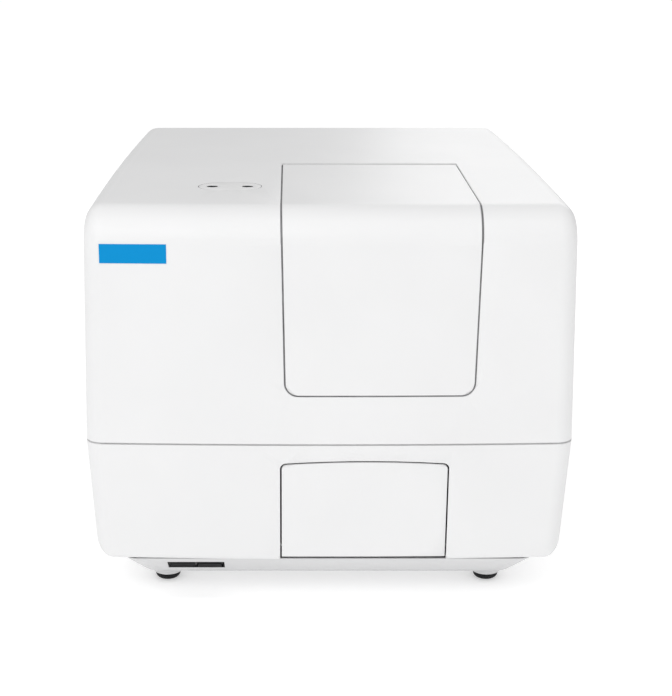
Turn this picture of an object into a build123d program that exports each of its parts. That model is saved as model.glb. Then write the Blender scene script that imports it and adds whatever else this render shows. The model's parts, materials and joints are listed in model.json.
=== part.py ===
from build123d import *
import math
import os

# Microplate reader. Millimetres; X to the right, Y to the back, Z up.
# The origin is on the bench, under the middle of the casing.

# ---------------------------------------------------------------- casing
CASE_WIDTH = 402.0
CASE_DEPTH = 472.0
CASE_HEIGHT = 340.0
CASE_WALL = 3.5
SEAM_Z = 146.0
SEAM_GAP = 1.5
CASE_BOTTOM_Z = 41.0
FRONT_BOW_R = 4300.0
SIDE_BOW_R = 8500.0
WIDEST_BEHIND_FRONT = 60.0
UPPER_DRAFT = 1.1
LOWER_DRAFT = 3.2
FRONT_TOP_R = 30.0
CASE_EDGE_R = 15.0
LOWER_CORNER_R = 20.0
LOWER_EDGE_R = 4.5
CORNER_BLEND = 0.2
TONGUE_WALL = 1.5
TONGUE_HEIGHT = 5.0
TONGUE_EMBED = 0.1
FLANGE_WIDTH = 14.0
SEAT = 0.3
TOUCH = 0.2

FRONT_Y = -CASE_DEPTH / 2
REAR_Y = CASE_DEPTH / 2
WIDEST_Y = FRONT_Y + WIDEST_BEHIND_FRONT
FAR = 2 * CASE_DEPTH

# ---------------------------------------------------------------- base and feet
BASE_BOTTOM_Z = 16.0
BASE_TOP_WIDTH = 356.0
BASE_BOTTOM_WIDTH = 324.0
CHIN_TOP_SETBACK = 10.0
CHIN_BOTTOM_SETBACK = 40.0
BASE_REAR_SETBACK = 8.0
BASE_REAR_SLOPE = 14.0
BASE_WALL = 3.0
BASE_CORNER_R = 18.0
FOOT_X = 140.0
FOOT_FRONT_SETBACK = 65.0
FOOT_REAR_SETBACK = 60.0
FOOT_BOSS_R = 15.0
FOOT_BOSS_DROP = 4.0
FOOT_R = 11.0
FOOT_DOME_R = 5.0
FOOT_STEM_R = 3.0
FOOT_STEM_LENGTH = 4.0

# ---------------------------------------------------------------- chassis
CHASSIS_Z = 47.0
CHASSIS_THICK = 4.0
CHASSIS_HALF_WIDTH = 168.0
CHASSIS_FRONT_Y = -216.5
CHASSIS_REAR_Y = 220.0
CHASSIS_POST_R = 6.0

# ---------------------------------------------------------------- upper door
UPPER_DOOR_LEFT_X = -39.5
UPPER_DOOR_RIGHT_X = 120.5
UPPER_DOOR_TAPER = 3.0
UPPER_DOOR_BOTTOM_Z = 187.5
UPPER_DOOR_HINGE_Y = -14.0
UPPER_DOOR_HINGE_DROP = 3.8
UPPER_DOOR_GAP = 1.4
UPPER_DOOR_CORNER_R = 11.0
UPPER_DOOR_REAR_CLEAR = 3.6
UPPER_OPENING_REAR_CLEAR = 5.2
HINGE_BARREL_R = 3.0
HINGE_PIN_R = 1.5
BARREL_END_INSET = 19.5
HINGE_LUG_WIDTH = 4.0
PIN_CLEAR = 0.05
END_CLEAR = 0.4
DOOR_LINER_WALL = 3.0
DOOR_LINER_MARGIN = 8.0

# ---------------------------------------------------------------- lower door
LOWER_DOOR_X = 29.0
LOWER_DOOR_WIDTH = 138.0
LOWER_DOOR_TOP_Z = 128.5
LOWER_DOOR_RISE = 2.6
LOWER_DOOR_LIFT = 0.1
LOWER_DOOR_GAP = 1.4
LOWER_DOOR_CORNER_R = 4.5
LOWER_HINGE_BEHIND_FACE = 7.2
LOWER_HINGE_Z = 50.3
LOWER_KNUCKLE_R = 3.2
LOWER_KNUCKLE_WIDTH = 12.0
LOWER_KNUCKLE_INSET = 10.0
LOWER_BRACKET_WIDTH = 6.0
BRACKET_FOOT_LENGTH = 16.0
BRACKET_FOOT_THICK = 3.0

# ---------------------------------------------------------------- plate carrier
PLATE_LENGTH = 127.76
PLATE_DEPTH = 85.48
PLATE_CLEAR = 0.5
NEST_WALL = 2.6
NEST_LEDGE = 5.0
CARRIER_Z = 92.0
CARRIER_THICK = 4.0
NEST_DEPTH = 7.0
CARRIER_FRONT_Y = -156.0
NEST_FRONT_RIM = 7.0
NEST_REAR_RIM = 8.0
SLIDER_LENGTH = 104.0
SLIDER_WIDTH = 118.0
RAIL_SPACING = 96.0
RAIL_R = 4.0
RAIL_Z = 78.0
RAIL_FRONT_Y = -215.0
RAIL_REAR_Y = 66.0
RAIL_BLOCK_LENGTH = 8.0
RAIL_BLOCK_WIDTH = 18.0
BUSH_WALL = 3.0
BUSH_LENGTH = 16.0
BUSH_SPACING = 44.0
RUN_CLEAR = 0.05

# ---------------------------------------------------------------- belt drive
PULLEY_R = 8.0
PULLEY_WIDTH = 7.0
PULLEY_FLANGE_R = 10.5
PULLEY_FLANGE = 1.0
PULLEY_TEETH = 20
PULLEY_TOOTH_DEPTH = 0.6
BELT_THICK = 1.3
BELT_WIDTH = 6.0
SHAFT_R = 2.5
DRIVE_PULLEY_Y = 88.0
IDLER_PULLEY_Y = -206.0
MOTOR_SIZE = 42.0
MOTOR_LENGTH = 40.0
MOTOR_CORNER = 4.0
MOTOR_BOSS_R = 11.0
MOTOR_BOSS = 2.0
BRACKET_WALL = 3.0
CLAMP_HALF_LENGTH = 6.0
CLAMP_BELOW_BELT = 3.0

# ---------------------------------------------------------------- read chamber and head
CHAMBER_WALL = 2.5
CHAMBER_WIDTH = 150.0
CHAMBER_FRONT_Y = -210.0
CHAMBER_REAR_Y = 54.0
CHAMBER_TOP_Z = 114.0
LID_THICK = 3.0
SLOT_WIDTH = 26.0
SLOT_END_MARGIN = 7.0
HEAD_Y = -105.0
HEAD_TRAVEL = 50.0
HEAD_WIDTH = 40.0
HEAD_LENGTH = 64.0
HEAD_BOTTOM_Z = 124.0
HEAD_TOP_Z = 162.0
HEAD_RAIL_Z = 150.0
HEAD_RAIL_SPACING = 46.0
HEAD_RAIL_R = 3.0
HEAD_SCREW_R = 3.0
LENS_R = 9.0
LENS_BOTTOM_Z = 119.0
HEAD_FRAME_X = 92.0
HEAD_FRAME_WALL = 5.0
HEAD_WINDOW_HALF = 18.0
HEAD_WINDOW_SILL = 14.0
HEAD_WINDOW_DROP = 24.0

# ---------------------------------------------------------------- filter bay
BAY_SIDE_MARGIN = 4.5
BAY_WALL = 2.5
BAY_REAR_MARGIN = 3.0
CUBE_X = 40.0
CUBE_Y = -112.0
CUBE_WIDTH = 62.0
CUBE_DEPTH = 50.0
CUBE_HEIGHT = 66.0
CUBE_HANDLE_HEIGHT = 18.0
CUBE_HANDLE_BAR_R = 4.0
SOCKET_WALL = 4.0
SOCKET_HEIGHT = 20.0
SOCKET_FLOOR = 3.0
CUBE_CLEAR = 0.4
FILTER_R = 12.5

# ---------------------------------------------------------------- optics on the left
DECK_Z = 176.0
DECK_THICK = 4.0
DECK_LEFT_X = -184.0
DECK_RIGHT_X = -58.0
DECK_FRONT_Y = -82.0
DECK_REAR_Y = 196.0
DECK_LEG_WIDTH = 20.0
LAMP_SIZE = 62.0
LAMP_HEIGHT = 74.0
LAMP_WALL = 3.0
BULB_R = 9.0
BULB_LENGTH = 36.0
MONO_WIDTH = 112.0
MONO_DEPTH = 84.0
MONO_HEIGHT = 56.0
MONO_WALL = 3.0
MONO_GAP = 10.0
GRATING_SIZE = 30.0
GRATING_THICK = 6.0
TURNTABLE_R = 17.0
TURNTABLE_THICK = 4.0
SPINDLE_R = 3.0
DETECTOR_R = 24.0
DETECTOR_LENGTH = 88.0

# ---------------------------------------------------------------- electronics at the back
PANEL_WIDTH = 300.0
PANEL_HEIGHT = 84.0
PANEL_THICK = 2.0
PANEL_LAP = 6.0
PANEL_Z = 97.0
FAN_SIZE = 60.0
FAN_DEPTH = 25.0
FAN_X = -104.0
FAN_HUB_R = 16.0
FAN_BORE_R = 28.0
FAN_BLADES = 7
INLET_X = 118.0
INLET_WIDTH = 28.0
INLET_HEIGHT = 20.0
INLET_DEPTH = 17.0
INLET_BEVEL = 4.0
USB_X = -2.0
USB_SIZE = 12.0
USB_DEPTH = 14.0
USB_FLOOR = 5.0
USB_WALL = 1.0
USB_TONGUE_INSET = 2.8
USB_TONGUE_THICK = 3.2
SOCKET_X = (-48.0, -25.0)
SOCKET_R = 8.0
SUPPLY_WIDTH = 110.0
SUPPLY_DEPTH = 90.0
SUPPLY_HEIGHT = 44.0
BOARD_WIDTH = 84.0
BOARD_DEPTH = 92.0
BOARD_THICK = 1.6
STANDOFF_HEIGHT = 8.0
STANDOFF_R = 3.5

# ---------------------------------------------------------------- front controls in the chin
CONTROL_X = -112.5
BEZEL_WIDTH = 48.0
BEZEL_HEIGHT = 17.0
BEZEL_DEPTH = 10.0
BEZEL_WALL = 1.8
BEZEL_FIT = 0.3
CONTROL_CLEAR = 0.5
ROCKER_PIN_R = 1.2

# ---------------------------------------------------------------- injector ports on top
PORT_X = -83.5
PORT_Y = -126.0
PORT_SPACING = 30.0
PORT_PLATE_LENGTH = 53.0
PORT_PLATE_WIDTH = 38.0
PORT_PLATE_THICK = 2.0
PORT_PLATE_GAP = 0.6
PORT_BORE_R = 3.0
PORT_MOUTH_R = 5.5
PORT_BODY_R = 8.0
PORT_BODY_LENGTH = 16.0
PORT_COLLAR = 2.0
TUBE_R = 1.6


def box_between(low, high):
    """A box from its lowest to its highest corner."""
    size = [high[i] - low[i] for i in range(3)]
    middle = [(high[i] + low[i]) / 2 for i in range(3)]
    return Pos(*middle) * Box(*size)


def rod_along(axis, radius, start, end, across):
    """A round bar along X, Y or Z; across gives its other two coordinates in X, Y, Z order."""
    length = end - start
    middle = (start + end) / 2
    if axis == "X":
        return Pos(middle, across[0], across[1]) * Rot(0, 90, 0) * Cylinder(radius, length)
    if axis == "Y":
        return Pos(across[0], middle, across[1]) * Rot(90, 0, 0) * Cylinder(radius, length)
    return Pos(across[0], across[1], middle) * Cylinder(radius, length)


def single(shape):
    """The one solid that a shape holds."""
    return shape.solids().sort_by(SortBy.VOLUME)[-1]


# ---------------------------------------------------------------- casing forms
def side_x(y, inset):
    """Half width of the casing at the seam, where the sides bow gently."""
    radius = SIDE_BOW_R - inset
    return CASE_WIDTH / 2 - SIDE_BOW_R + math.sqrt(radius ** 2 - (y - WIDEST_Y) ** 2)


def front_y(x, inset):
    """Front of the casing at the seam, where the face bows gently."""
    radius = FRONT_BOW_R - inset
    return FRONT_Y + FRONT_BOW_R - math.sqrt(radius ** 2 - x ** 2)


def case_plan(inset):
    """Outline of the casing at the seam, run on past the back, which is cut flat later."""
    corner_y = FRONT_Y
    for _ in range(4):
        corner_x = side_x(corner_y, inset)
        corner_y = front_y(corner_x, inset)
    rear_y = REAR_Y + 2 * CASE_EDGE_R
    rear_x = side_x(rear_y, inset)
    middle_y = (corner_y + rear_y) / 2
    middle_x = side_x(middle_y, inset)
    front = ThreePointArc((-corner_x, corner_y), (0, front_y(0, inset)), (corner_x, corner_y))
    right = ThreePointArc((corner_x, corner_y), (middle_x, middle_y), (rear_x, rear_y))
    rear = Line((rear_x, rear_y), (-rear_x, rear_y))
    left = ThreePointArc((-rear_x, rear_y), (-middle_x, middle_y), (-corner_x, corner_y))
    return make_face([front, right, rear, left])


def cut_back(form, inset):
    """The form with its back cut flat."""
    return form & Pos(0, REAR_Y - inset - FAR / 2, 0) * Box(FAR, FAR, FAR)


def is_sharp(edge, faces):
    """True where two faces meet in a corner, not smoothly."""
    middle = edge @ 0.5
    sides = [face for face in faces if any(edge.is_same(other) for other in face.edges())]
    return len(sides) == 2 and sides[0].normal_at(middle).get_angle(sides[1].normal_at(middle)) > 20


def upper_form(inset):
    """Outer shape of the upper cover, offset inwards by inset."""
    top_z = CASE_HEIGHT - inset
    form = extrude(Pos(0, 0, SEAM_Z) * case_plan(inset), top_z - SEAM_Z, taper=UPPER_DRAFT)
    form = cut_back(form, inset)
    top_edges = [edge for edge in form.edges() if edge.bounding_box().min.Z > top_z - 0.01]
    form = fillet(min(top_edges, key=lambda edge: (edge @ 0.5).Y), FRONT_TOP_R - inset)
    faces = form.faces()
    outline = [e for e in form.edges() if e.bounding_box().max.Z > SEAM_Z + 1 and is_sharp(e, faces)]
    return fillet(outline, CASE_EDGE_R - inset)


def lower_form(inset):
    """Outer shape of the lower housing, offset inwards by inset."""
    bottom_z = CASE_BOTTOM_Z + inset
    top_z = SEAM_Z - SEAM_GAP / 2
    plan = Pos(0, 0, top_z) * case_plan(inset)
    form = cut_back(extrude(plan, top_z - bottom_z, dir=(0, 0, -1), taper=LOWER_DRAFT), inset)
    upright = [e for e in form.edges() if e.bounding_box().size.Z > top_z - bottom_z - 1]
    form = fillet(upright, CASE_EDGE_R - inset)
    loop = [e for e in form.edges() if e.bounding_box().max.Z < bottom_z + 0.01]
    form = fillet(loop, max(LOWER_EDGE_R - inset, LOWER_EDGE_R / 9))
    return single(form & lower_tunnel(inset))


def lower_tunnel(inset):
    """A longer form with the same sides, whose two lower side edges are well rounded."""
    bottom_z = CASE_BOTTOM_Z + inset
    outside = inset - CORNER_BLEND
    start_y = FRONT_Y - 2 * LOWER_CORNER_R
    end_y = REAR_Y + 2 * LOWER_CORNER_R
    points = [(side_x(y, outside), y) for y in (start_y, 0, end_y)]
    mirrored = [(-x, y) for x, y in points]
    plan = make_face([Line(mirrored[0], points[0]), ThreePointArc(*points),
                      Line(points[2], mirrored[2]), ThreePointArc(*mirrored)])
    form = extrude(Pos(0, 0, SEAM_Z + 1) * plan, SEAM_Z + 1 - bottom_z, dir=(0, 0, -1), taper=LOWER_DRAFT)
    low = [e for e in form.edges() if e.bounding_box().max.Z < bottom_z + 0.01]
    sides = [e for e in low if e.bounding_box().size.Y > CASE_DEPTH]
    return fillet(sides, LOWER_CORNER_R - inset)


def seam_prism(inset, low, high):
    """Upright prism with the casing's outline at the seam, offset inwards by inset."""
    form = cut_back(extrude(Pos(0, 0, low) * case_plan(inset), high - low), inset)
    return fillet(form.edges().filter_by(Axis.Z), CASE_EDGE_R - inset)


def upper_shell(outer, inner):
    """Skin of the upper cover between two insets."""
    return upper_form(outer) - upper_form(inner)


def lower_shell(outer, inner):
    """Skin of the lower housing between two insets."""
    return lower_form(outer) - lower_form(inner)


# ---------------------------------------------------------------- door outlines
UPPER_HINGE_Z = CASE_HEIGHT - UPPER_DOOR_HINGE_DROP
BEND_Y = FRONT_Y + FRONT_TOP_R
BARREL_LEFT_X = UPPER_DOOR_LEFT_X + BARREL_END_INSET
BARREL_RIGHT_X = UPPER_DOOR_RIGHT_X - BARREL_END_INSET


def upper_door_block(margin, rear_clear):
    """Space that the upper door takes, with a margin all round, over the top and down the front."""
    left = UPPER_DOOR_LEFT_X - margin
    right = UPPER_DOOR_RIGHT_X + margin
    high = CASE_HEIGHT + CASE_WALL
    bottom = UPPER_DOOR_BOTTOM_Z - margin
    front = Polygon((left, high), (right, high), (right - UPPER_DOOR_TAPER, bottom),
                    (left + UPPER_DOOR_TAPER, bottom), align=None)
    low = front.vertices().sort_by(Axis.Y)[:2]
    bar = extrude(fillet(low, UPPER_DOOR_CORNER_R + margin), 2 * FRONT_TOP_R, dir=(0, 0, 1))
    front_bar = Pos(0, BEND_Y, 0) * Rot(90, 0, 0) * bar
    rear_y = UPPER_DOOR_HINGE_Y + rear_clear
    top_bar = box_between((left, BEND_Y, CASE_HEIGHT - FRONT_TOP_R), (right, rear_y, high))
    return front_bar + top_bar


def lower_face_y(z):
    """Front face of the lower housing, on the middle line, at a height."""
    return FRONT_Y + (SEAM_Z - z) * math.tan(math.radians(LOWER_DRAFT))


LOWER_DOOR_BOTTOM_Z = CASE_BOTTOM_Z + CASE_WALL + LOWER_DOOR_LIFT
LOWER_HINGE_Y = lower_face_y(LOWER_HINGE_Z) + LOWER_HINGE_BEHIND_FACE


def lower_door_block(margin, bottom_z):
    """Space that the lower door takes, with a margin all round; its top edge is gently arched."""
    half = LOWER_DOOR_WIDTH / 2 + margin
    top = LOWER_DOOR_TOP_Z + margin
    crown = top + LOWER_DOOR_RISE
    left = LOWER_DOOR_X - half
    right = LOWER_DOOR_X + half
    outline = make_face([
        Line((left, bottom_z), (right, bottom_z)), Line((right, bottom_z), (right, top)),
        ThreePointArc((right, top), (LOWER_DOOR_X, crown), (left, top)), Line((left, top), (left, bottom_z))])
    high = outline.vertices().sort_by(Axis.Y)[2:]
    outline = fillet(high, LOWER_DOOR_CORNER_R + margin)
    bar = extrude(outline, 2 * FRONT_TOP_R, dir=(0, 0, 1))
    return Pos(0, BEND_Y, 0) * Rot(90, 0, 0) * bar


# ---------------------------------------------------------------- casing pieces
def hinge_bar(radius, start, end):
    """A round bar on the upper door's hinge line."""
    return rod_along("X", radius, start, end, (UPPER_DOOR_HINGE_Y, UPPER_HINGE_Z))


def upper_cover():
    """Moulded upper cover, open for the upper door, with the hinge lugs and the cooling slots."""
    cover = upper_shell(0, CASE_WALL)
    cover -= box_between((-FAR, -FAR, 0), (FAR, FAR, SEAM_Z + SEAM_GAP / 2))
    cover -= seam_prism(CASE_WALL - TONGUE_WALL - TOUCH, SEAM_Z - 1, SEAM_Z + TONGUE_HEIGHT + TOUCH)
    cover -= upper_door_block(UPPER_DOOR_GAP / 2, UPPER_OPENING_REAR_CLEAR)
    lug_spans = ((BARREL_LEFT_X - END_CLEAR - HINGE_LUG_WIDTH, BARREL_LEFT_X - END_CLEAR),
                 (BARREL_RIGHT_X + END_CLEAR, BARREL_RIGHT_X + END_CLEAR + HINGE_LUG_WIDTH))
    for start, end in lug_spans:
        cover += hinge_bar(HINGE_BARREL_R, start, end)
        cover += box_between((start, UPPER_DOOR_HINGE_Y, UPPER_HINGE_Z - HINGE_BARREL_R),
                             (end, BAY_REAR_Y - SEAT, CASE_HEIGHT - CASE_WALL + TOUCH))
        cover -= hinge_bar(HINGE_PIN_R, start - 1, end + 1)
    cover -= port_plate_shape(PORT_PLATE_THICK, PORT_PLATE_GAP)
    for x in port_positions():
        cover -= Pos(x, PORT_Y, CASE_HEIGHT) * Cylinder(PORT_BODY_R + TOUCH, 4 * CASE_WALL)
    cover -= vent_slots(VENT_X, VENT_Z, VENT_COUNT)
    return single(cover)


VENT_X = -116.0
VENT_Z = 262.0
VENT_COUNT = 12
VENT_PITCH = 9.0
VENT_WIDTH = 4.0
VENT_HEIGHT = 64.0


def vent_slots(x, z, count):
    """A row of upright cooling slots through the back wall."""
    slot = Rot(90, 0, 0) * extrude(SlotCenterToCenter(VENT_HEIGHT - VENT_WIDTH, VENT_WIDTH, rotation=90),
                                   2 * CASE_WALL, both=True)
    start = x - VENT_PITCH * (count - 1) / 2
    return Compound([Pos(start + VENT_PITCH * i, REAR_Y, z) * slot for i in range(count)])


def panel_box(margin, depth):
    """Space of the rear panel, measured in from the back face."""
    return box_between((-PANEL_WIDTH / 2 - margin, REAR_Y - depth, PANEL_Z - PANEL_HEIGHT / 2 - margin),
                       (PANEL_WIDTH / 2 + margin, REAR_Y, PANEL_Z + PANEL_HEIGHT / 2 + margin))


def lower_housing():
    """Moulded lower housing, with the locating tongue, the door opening and the rear panel's seat."""
    housing = lower_shell(0, CASE_WALL)
    tongue_root = SEAM_Z - TONGUE_HEIGHT
    tongue_top = SEAM_Z + TONGUE_HEIGHT
    tongue = (seam_prism(CASE_WALL - TONGUE_WALL, tongue_root, tongue_top)
              - seam_prism(CASE_WALL - TONGUE_EMBED, tongue_root - 1, tongue_top + 1))
    housing += tongue
    inner_half = BASE_TOP_WIDTH / 2 - FLANGE_WIDTH
    housing -= box_between((-inner_half, BASE_TOP_FRONT_Y + FLANGE_WIDTH, 0),
                           (inner_half, BASE_TOP_REAR_Y - FLANGE_WIDTH, CASE_BOTTOM_Z + CASE_WALL))
    housing -= lower_door_block(LOWER_DOOR_GAP / 2, 0)
    housing -= panel_box(TOUCH, PANEL_THICK)
    housing -= panel_box(-PANEL_LAP, 3 * CASE_WALL)
    return single(housing)


# ---------------------------------------------------------------- base
BASE_TOP_FRONT_Y = FRONT_Y + CHIN_TOP_SETBACK
BASE_TOP_REAR_Y = REAR_Y - BASE_REAR_SETBACK
BASE_BOTTOM_FRONT_Y = FRONT_Y + CHIN_BOTTOM_SETBACK
BASE_BOTTOM_REAR_Y = BASE_TOP_REAR_Y - BASE_REAR_SLOPE
CHIN_RUN = BASE_BOTTOM_FRONT_Y - BASE_TOP_FRONT_Y
CHIN_DROP = CASE_BOTTOM_Z - BASE_BOTTOM_Z


def chin_plane():
    """The sloping front of the base at the controls; its z points out and its y up the slope."""
    middle = (CONTROL_X, (BASE_TOP_FRONT_Y + BASE_BOTTOM_FRONT_Y) / 2, (CASE_BOTTOM_Z + BASE_BOTTOM_Z) / 2)
    return Plane(origin=middle, x_dir=(1, 0, 0), z_dir=(0, -CHIN_DROP, -CHIN_RUN))


def base_outline(width, front, rear, z, inset):
    """Rounded rectangle of the base at a height."""
    outline = RectangleRounded(width - 2 * inset, rear - front - 2 * inset, BASE_CORNER_R - inset)
    return Pos(0, (front + rear) / 2, z) * outline


def foot_places():
    """Centres of the four feet."""
    return [(x, y) for x in (-FOOT_X, FOOT_X)
            for y in (FRONT_Y + FOOT_FRONT_SETBACK, REAR_Y - FOOT_REAR_SETBACK)]


def chassis_posts():
    """Centres of the posts that carry the chassis plate."""
    half = CHASSIS_HALF_WIDTH - 2.5 * CHASSIS_POST_R
    middle = (CHASSIS_FRONT_Y + CHASSIS_REAR_Y) / 2
    reach = (CHASSIS_REAR_Y - CHASSIS_FRONT_Y) / 2 - 5 * CHASSIS_POST_R
    return [(x, middle + y) for x in (-half, half) for y in (-reach, 0, reach)]


def base_pan():
    """Tapered tray under the housing; its sloping chin holds the controls."""
    outer = loft([base_outline(BASE_BOTTOM_WIDTH, BASE_BOTTOM_FRONT_Y, BASE_BOTTOM_REAR_Y, BASE_BOTTOM_Z, 0),
                  base_outline(BASE_TOP_WIDTH, BASE_TOP_FRONT_Y, BASE_TOP_REAR_Y, CASE_BOTTOM_Z, 0)])
    inner = loft([base_outline(BASE_BOTTOM_WIDTH, BASE_BOTTOM_FRONT_Y, BASE_BOTTOM_REAR_Y,
                               BASE_BOTTOM_Z, BASE_WALL),
                  base_outline(BASE_TOP_WIDTH, BASE_TOP_FRONT_Y, BASE_TOP_REAR_Y, CASE_BOTTOM_Z, BASE_WALL)])
    floor_z = BASE_BOTTOM_Z + BASE_WALL
    pan = outer - (inner & box_between((-FAR, -FAR, floor_z), (FAR, FAR, CASE_BOTTOM_Z + 1)))
    for x, y in chassis_posts():
        pan += rod_along("Z", CHASSIS_POST_R, floor_z, CHASSIS_Z, (x, y))
    for x, y in foot_places():
        pan += rod_along("Z", FOOT_BOSS_R, BASE_BOTTOM_Z - FOOT_BOSS_DROP, floor_z, (x, y))
        pan -= rod_along("Z", FOOT_STEM_R, 0, BASE_BOTTOM_Z - FOOT_BOSS_DROP + FOOT_STEM_LENGTH, (x, y))
    window = Box(BEZEL_WIDTH + 2 * TOUCH, BEZEL_HEIGHT + 2 * TOUCH, 4 * BEZEL_DEPTH)
    pan -= chin_plane().location * window
    return single(pan)


def rubber_feet():
    """Four domed rubber feet, each with a stem that is pushed into its boss."""
    top_z = BASE_BOTTOM_Z - FOOT_BOSS_DROP
    foot = Pos(0, 0, top_z / 2) * Cylinder(FOOT_R, top_z)
    low = foot.edges().filter_by(GeomType.CIRCLE).sort_by(Axis.Z)[0]
    foot = fillet(low, FOOT_DOME_R)
    foot += rod_along("Z", FOOT_STEM_R - TOUCH, top_z, top_z + FOOT_STEM_LENGTH, (0, 0))
    return [Pos(x, y, 0) * single(foot) for x, y in foot_places()]


def chassis_plate():
    """Aluminium plate on the base's posts that carries everything inside."""
    plate = box_between((-CHASSIS_HALF_WIDTH, CHASSIS_FRONT_Y, CHASSIS_Z),
                        (CHASSIS_HALF_WIDTH, CHASSIS_REAR_Y, CHASSIS_Z + CHASSIS_THICK))
    upright = plate.edges().filter_by(Axis.Z)
    return single(fillet(upright, CHASSIS_POST_R))


CHASSIS_TOP_Z = CHASSIS_Z + CHASSIS_THICK


# ---------------------------------------------------------------- doors
def upper_door():
    """Curved access door over the filter bay, with its hinge barrel."""
    door = upper_shell(0, CASE_WALL) & upper_door_block(-UPPER_DOOR_GAP / 2, -UPPER_DOOR_REAR_CLEAR)
    door += hinge_bar(HINGE_BARREL_R, BARREL_LEFT_X, BARREL_RIGHT_X)
    web_y = UPPER_DOOR_HINGE_Y - 2 * HINGE_BARREL_R
    door += box_between((BARREL_LEFT_X, web_y, UPPER_HINGE_Z - HINGE_BARREL_R),
                        (BARREL_RIGHT_X, UPPER_DOOR_HINGE_Y, CASE_HEIGHT - CASE_WALL + TOUCH))
    door -= hinge_bar(HINGE_PIN_R + PIN_CLEAR, BARREL_LEFT_X - 1, BARREL_RIGHT_X + 1)
    return single(door)


def upper_door_liner():
    """Inner panel of the upper door."""
    outer = CASE_WALL + TOUCH
    skin = upper_shell(outer, outer + DOOR_LINER_WALL)
    rear_clear = -2 * HINGE_BARREL_R - DOOR_LINER_MARGIN
    return single(skin & upper_door_block(-DOOR_LINER_MARGIN, rear_clear))


def upper_door_pin():
    """Steel hinge pin held in the cover's two lugs."""
    reach = END_CLEAR + HINGE_LUG_WIDTH
    return hinge_bar(HINGE_PIN_R, BARREL_LEFT_X - reach, BARREL_RIGHT_X + reach)


def lower_hinge_bar(radius, start, end):
    """A round bar on the lower door's hinge line."""
    return rod_along("X", radius, start, end, (LOWER_HINGE_Y, LOWER_HINGE_Z))


def knuckle_spans():
    """Left and right ends of the lower door's two knuckles."""
    reach = LOWER_DOOR_WIDTH / 2 - LOWER_KNUCKLE_INSET
    return [(LOWER_DOOR_X - reach, LOWER_DOOR_X - reach + LOWER_KNUCKLE_WIDTH),
            (LOWER_DOOR_X + reach - LOWER_KNUCKLE_WIDTH, LOWER_DOOR_X + reach)]


def lower_door():
    """Plate door in the front, with two hinge knuckles behind its lower edge."""
    margin = -LOWER_DOOR_GAP / 2
    door = lower_shell(0, CASE_WALL) & lower_door_block(margin, LOWER_DOOR_BOTTOM_Z)
    for start, end in knuckle_spans():
        door += lower_hinge_bar(LOWER_KNUCKLE_R, start, end)
        wall_y = LOWER_HINGE_Y - LOWER_HINGE_BEHIND_FACE + CASE_WALL / 2
        door += box_between((start, wall_y, LOWER_HINGE_Z - LOWER_KNUCKLE_R),
                            (end, LOWER_HINGE_Y, LOWER_HINGE_Z + LOWER_KNUCKLE_R))
        door -= lower_hinge_bar(HINGE_PIN_R + PIN_CLEAR, start - 1, end + 1)
    return single(door)


def lower_door_liner():
    """Inner panel of the lower door, clear of the hinge."""
    outer = CASE_WALL + TOUCH
    skin = lower_shell(outer, outer + DOOR_LINER_WALL)
    bottom = LOWER_HINGE_Z + LOWER_KNUCKLE_R + DOOR_LINER_MARGIN / 2
    return single(skin & lower_door_block(-DOOR_LINER_MARGIN / 2, bottom))


def lower_door_hinges():
    """Two steel brackets on the chassis, each with the pin that a door knuckle turns on."""
    bow = front_y(LOWER_DOOR_X + LOWER_DOOR_WIDTH / 2, 0) - FRONT_Y
    eye_r = LOWER_HINGE_BEHIND_FACE - CASE_WALL - bow - SEAT
    brackets = []
    left_knuckle, right_knuckle = knuckle_spans()
    for knuckle, side in ((left_knuckle, -1), (right_knuckle, 1)):
        near = knuckle[0] - END_CLEAR if side < 0 else knuckle[1] + END_CLEAR
        far = near + side * LOWER_BRACKET_WIDTH
        start, end = min(near, far), max(near, far)
        bracket = lower_hinge_bar(eye_r, start, end)
        rear_y = CHASSIS_FRONT_Y - SEAT
        low_z = LOWER_HINGE_Z - HINGE_PIN_R
        top_z = CHASSIS_TOP_Z + BRACKET_FOOT_THICK
        bracket += box_between((start, LOWER_HINGE_Y, low_z), (end, rear_y, LOWER_HINGE_Z + eye_r))
        bracket += box_between((start, rear_y - BRACKET_FOOT_THICK, low_z), (end, rear_y, top_z))
        bracket += box_between((start, rear_y - BRACKET_FOOT_THICK, CHASSIS_TOP_Z),
                               (end, CHASSIS_FRONT_Y + BRACKET_FOOT_LENGTH, top_z))
        pin_end = knuckle[1] if side < 0 else knuckle[0]
        bracket += lower_hinge_bar(HINGE_PIN_R, min(start, pin_end), max(end, pin_end))
        brackets.append(single(bracket))
    return brackets


# ---------------------------------------------------------------- plate carrier
NEST_LENGTH = PLATE_LENGTH + 2 * PLATE_CLEAR
NEST_WIDTH = PLATE_DEPTH + 2 * PLATE_CLEAR
CARRIER_WIDTH = NEST_LENGTH + 2 * NEST_WALL
NEST_FRONT_Y = CARRIER_FRONT_Y + NEST_FRONT_RIM
NEST_REAR_Y = NEST_FRONT_Y + NEST_WIDTH
SLIDER_FRONT_Y = NEST_REAR_Y + NEST_REAR_RIM
SLIDER_REAR_Y = SLIDER_FRONT_Y + SLIDER_LENGTH
NEST_FLOOR_Z = CARRIER_Z + CARRIER_THICK
REAR_BUSH_Y = SLIDER_REAR_Y - 10.0
FRONT_BUSH_Y = REAR_BUSH_Y - BUSH_SPACING
LEVER_X = LOWER_DOOR_X + 42.0
LEVER_PIVOT_Y = SLIDER_FRONT_Y + 9.0
LEVER_THICK = 3.0
LEVER_PIN_R = 2.0
LEVER_WIDTH = 9.0
LEVER_REACH = 17.5
BUSH_R = RAIL_R + BUSH_WALL


def rail_xs():
    """Sideways places of the two carrier rails."""
    return (LOWER_DOOR_X - RAIL_SPACING / 2, LOWER_DOOR_X + RAIL_SPACING / 2)


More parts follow.
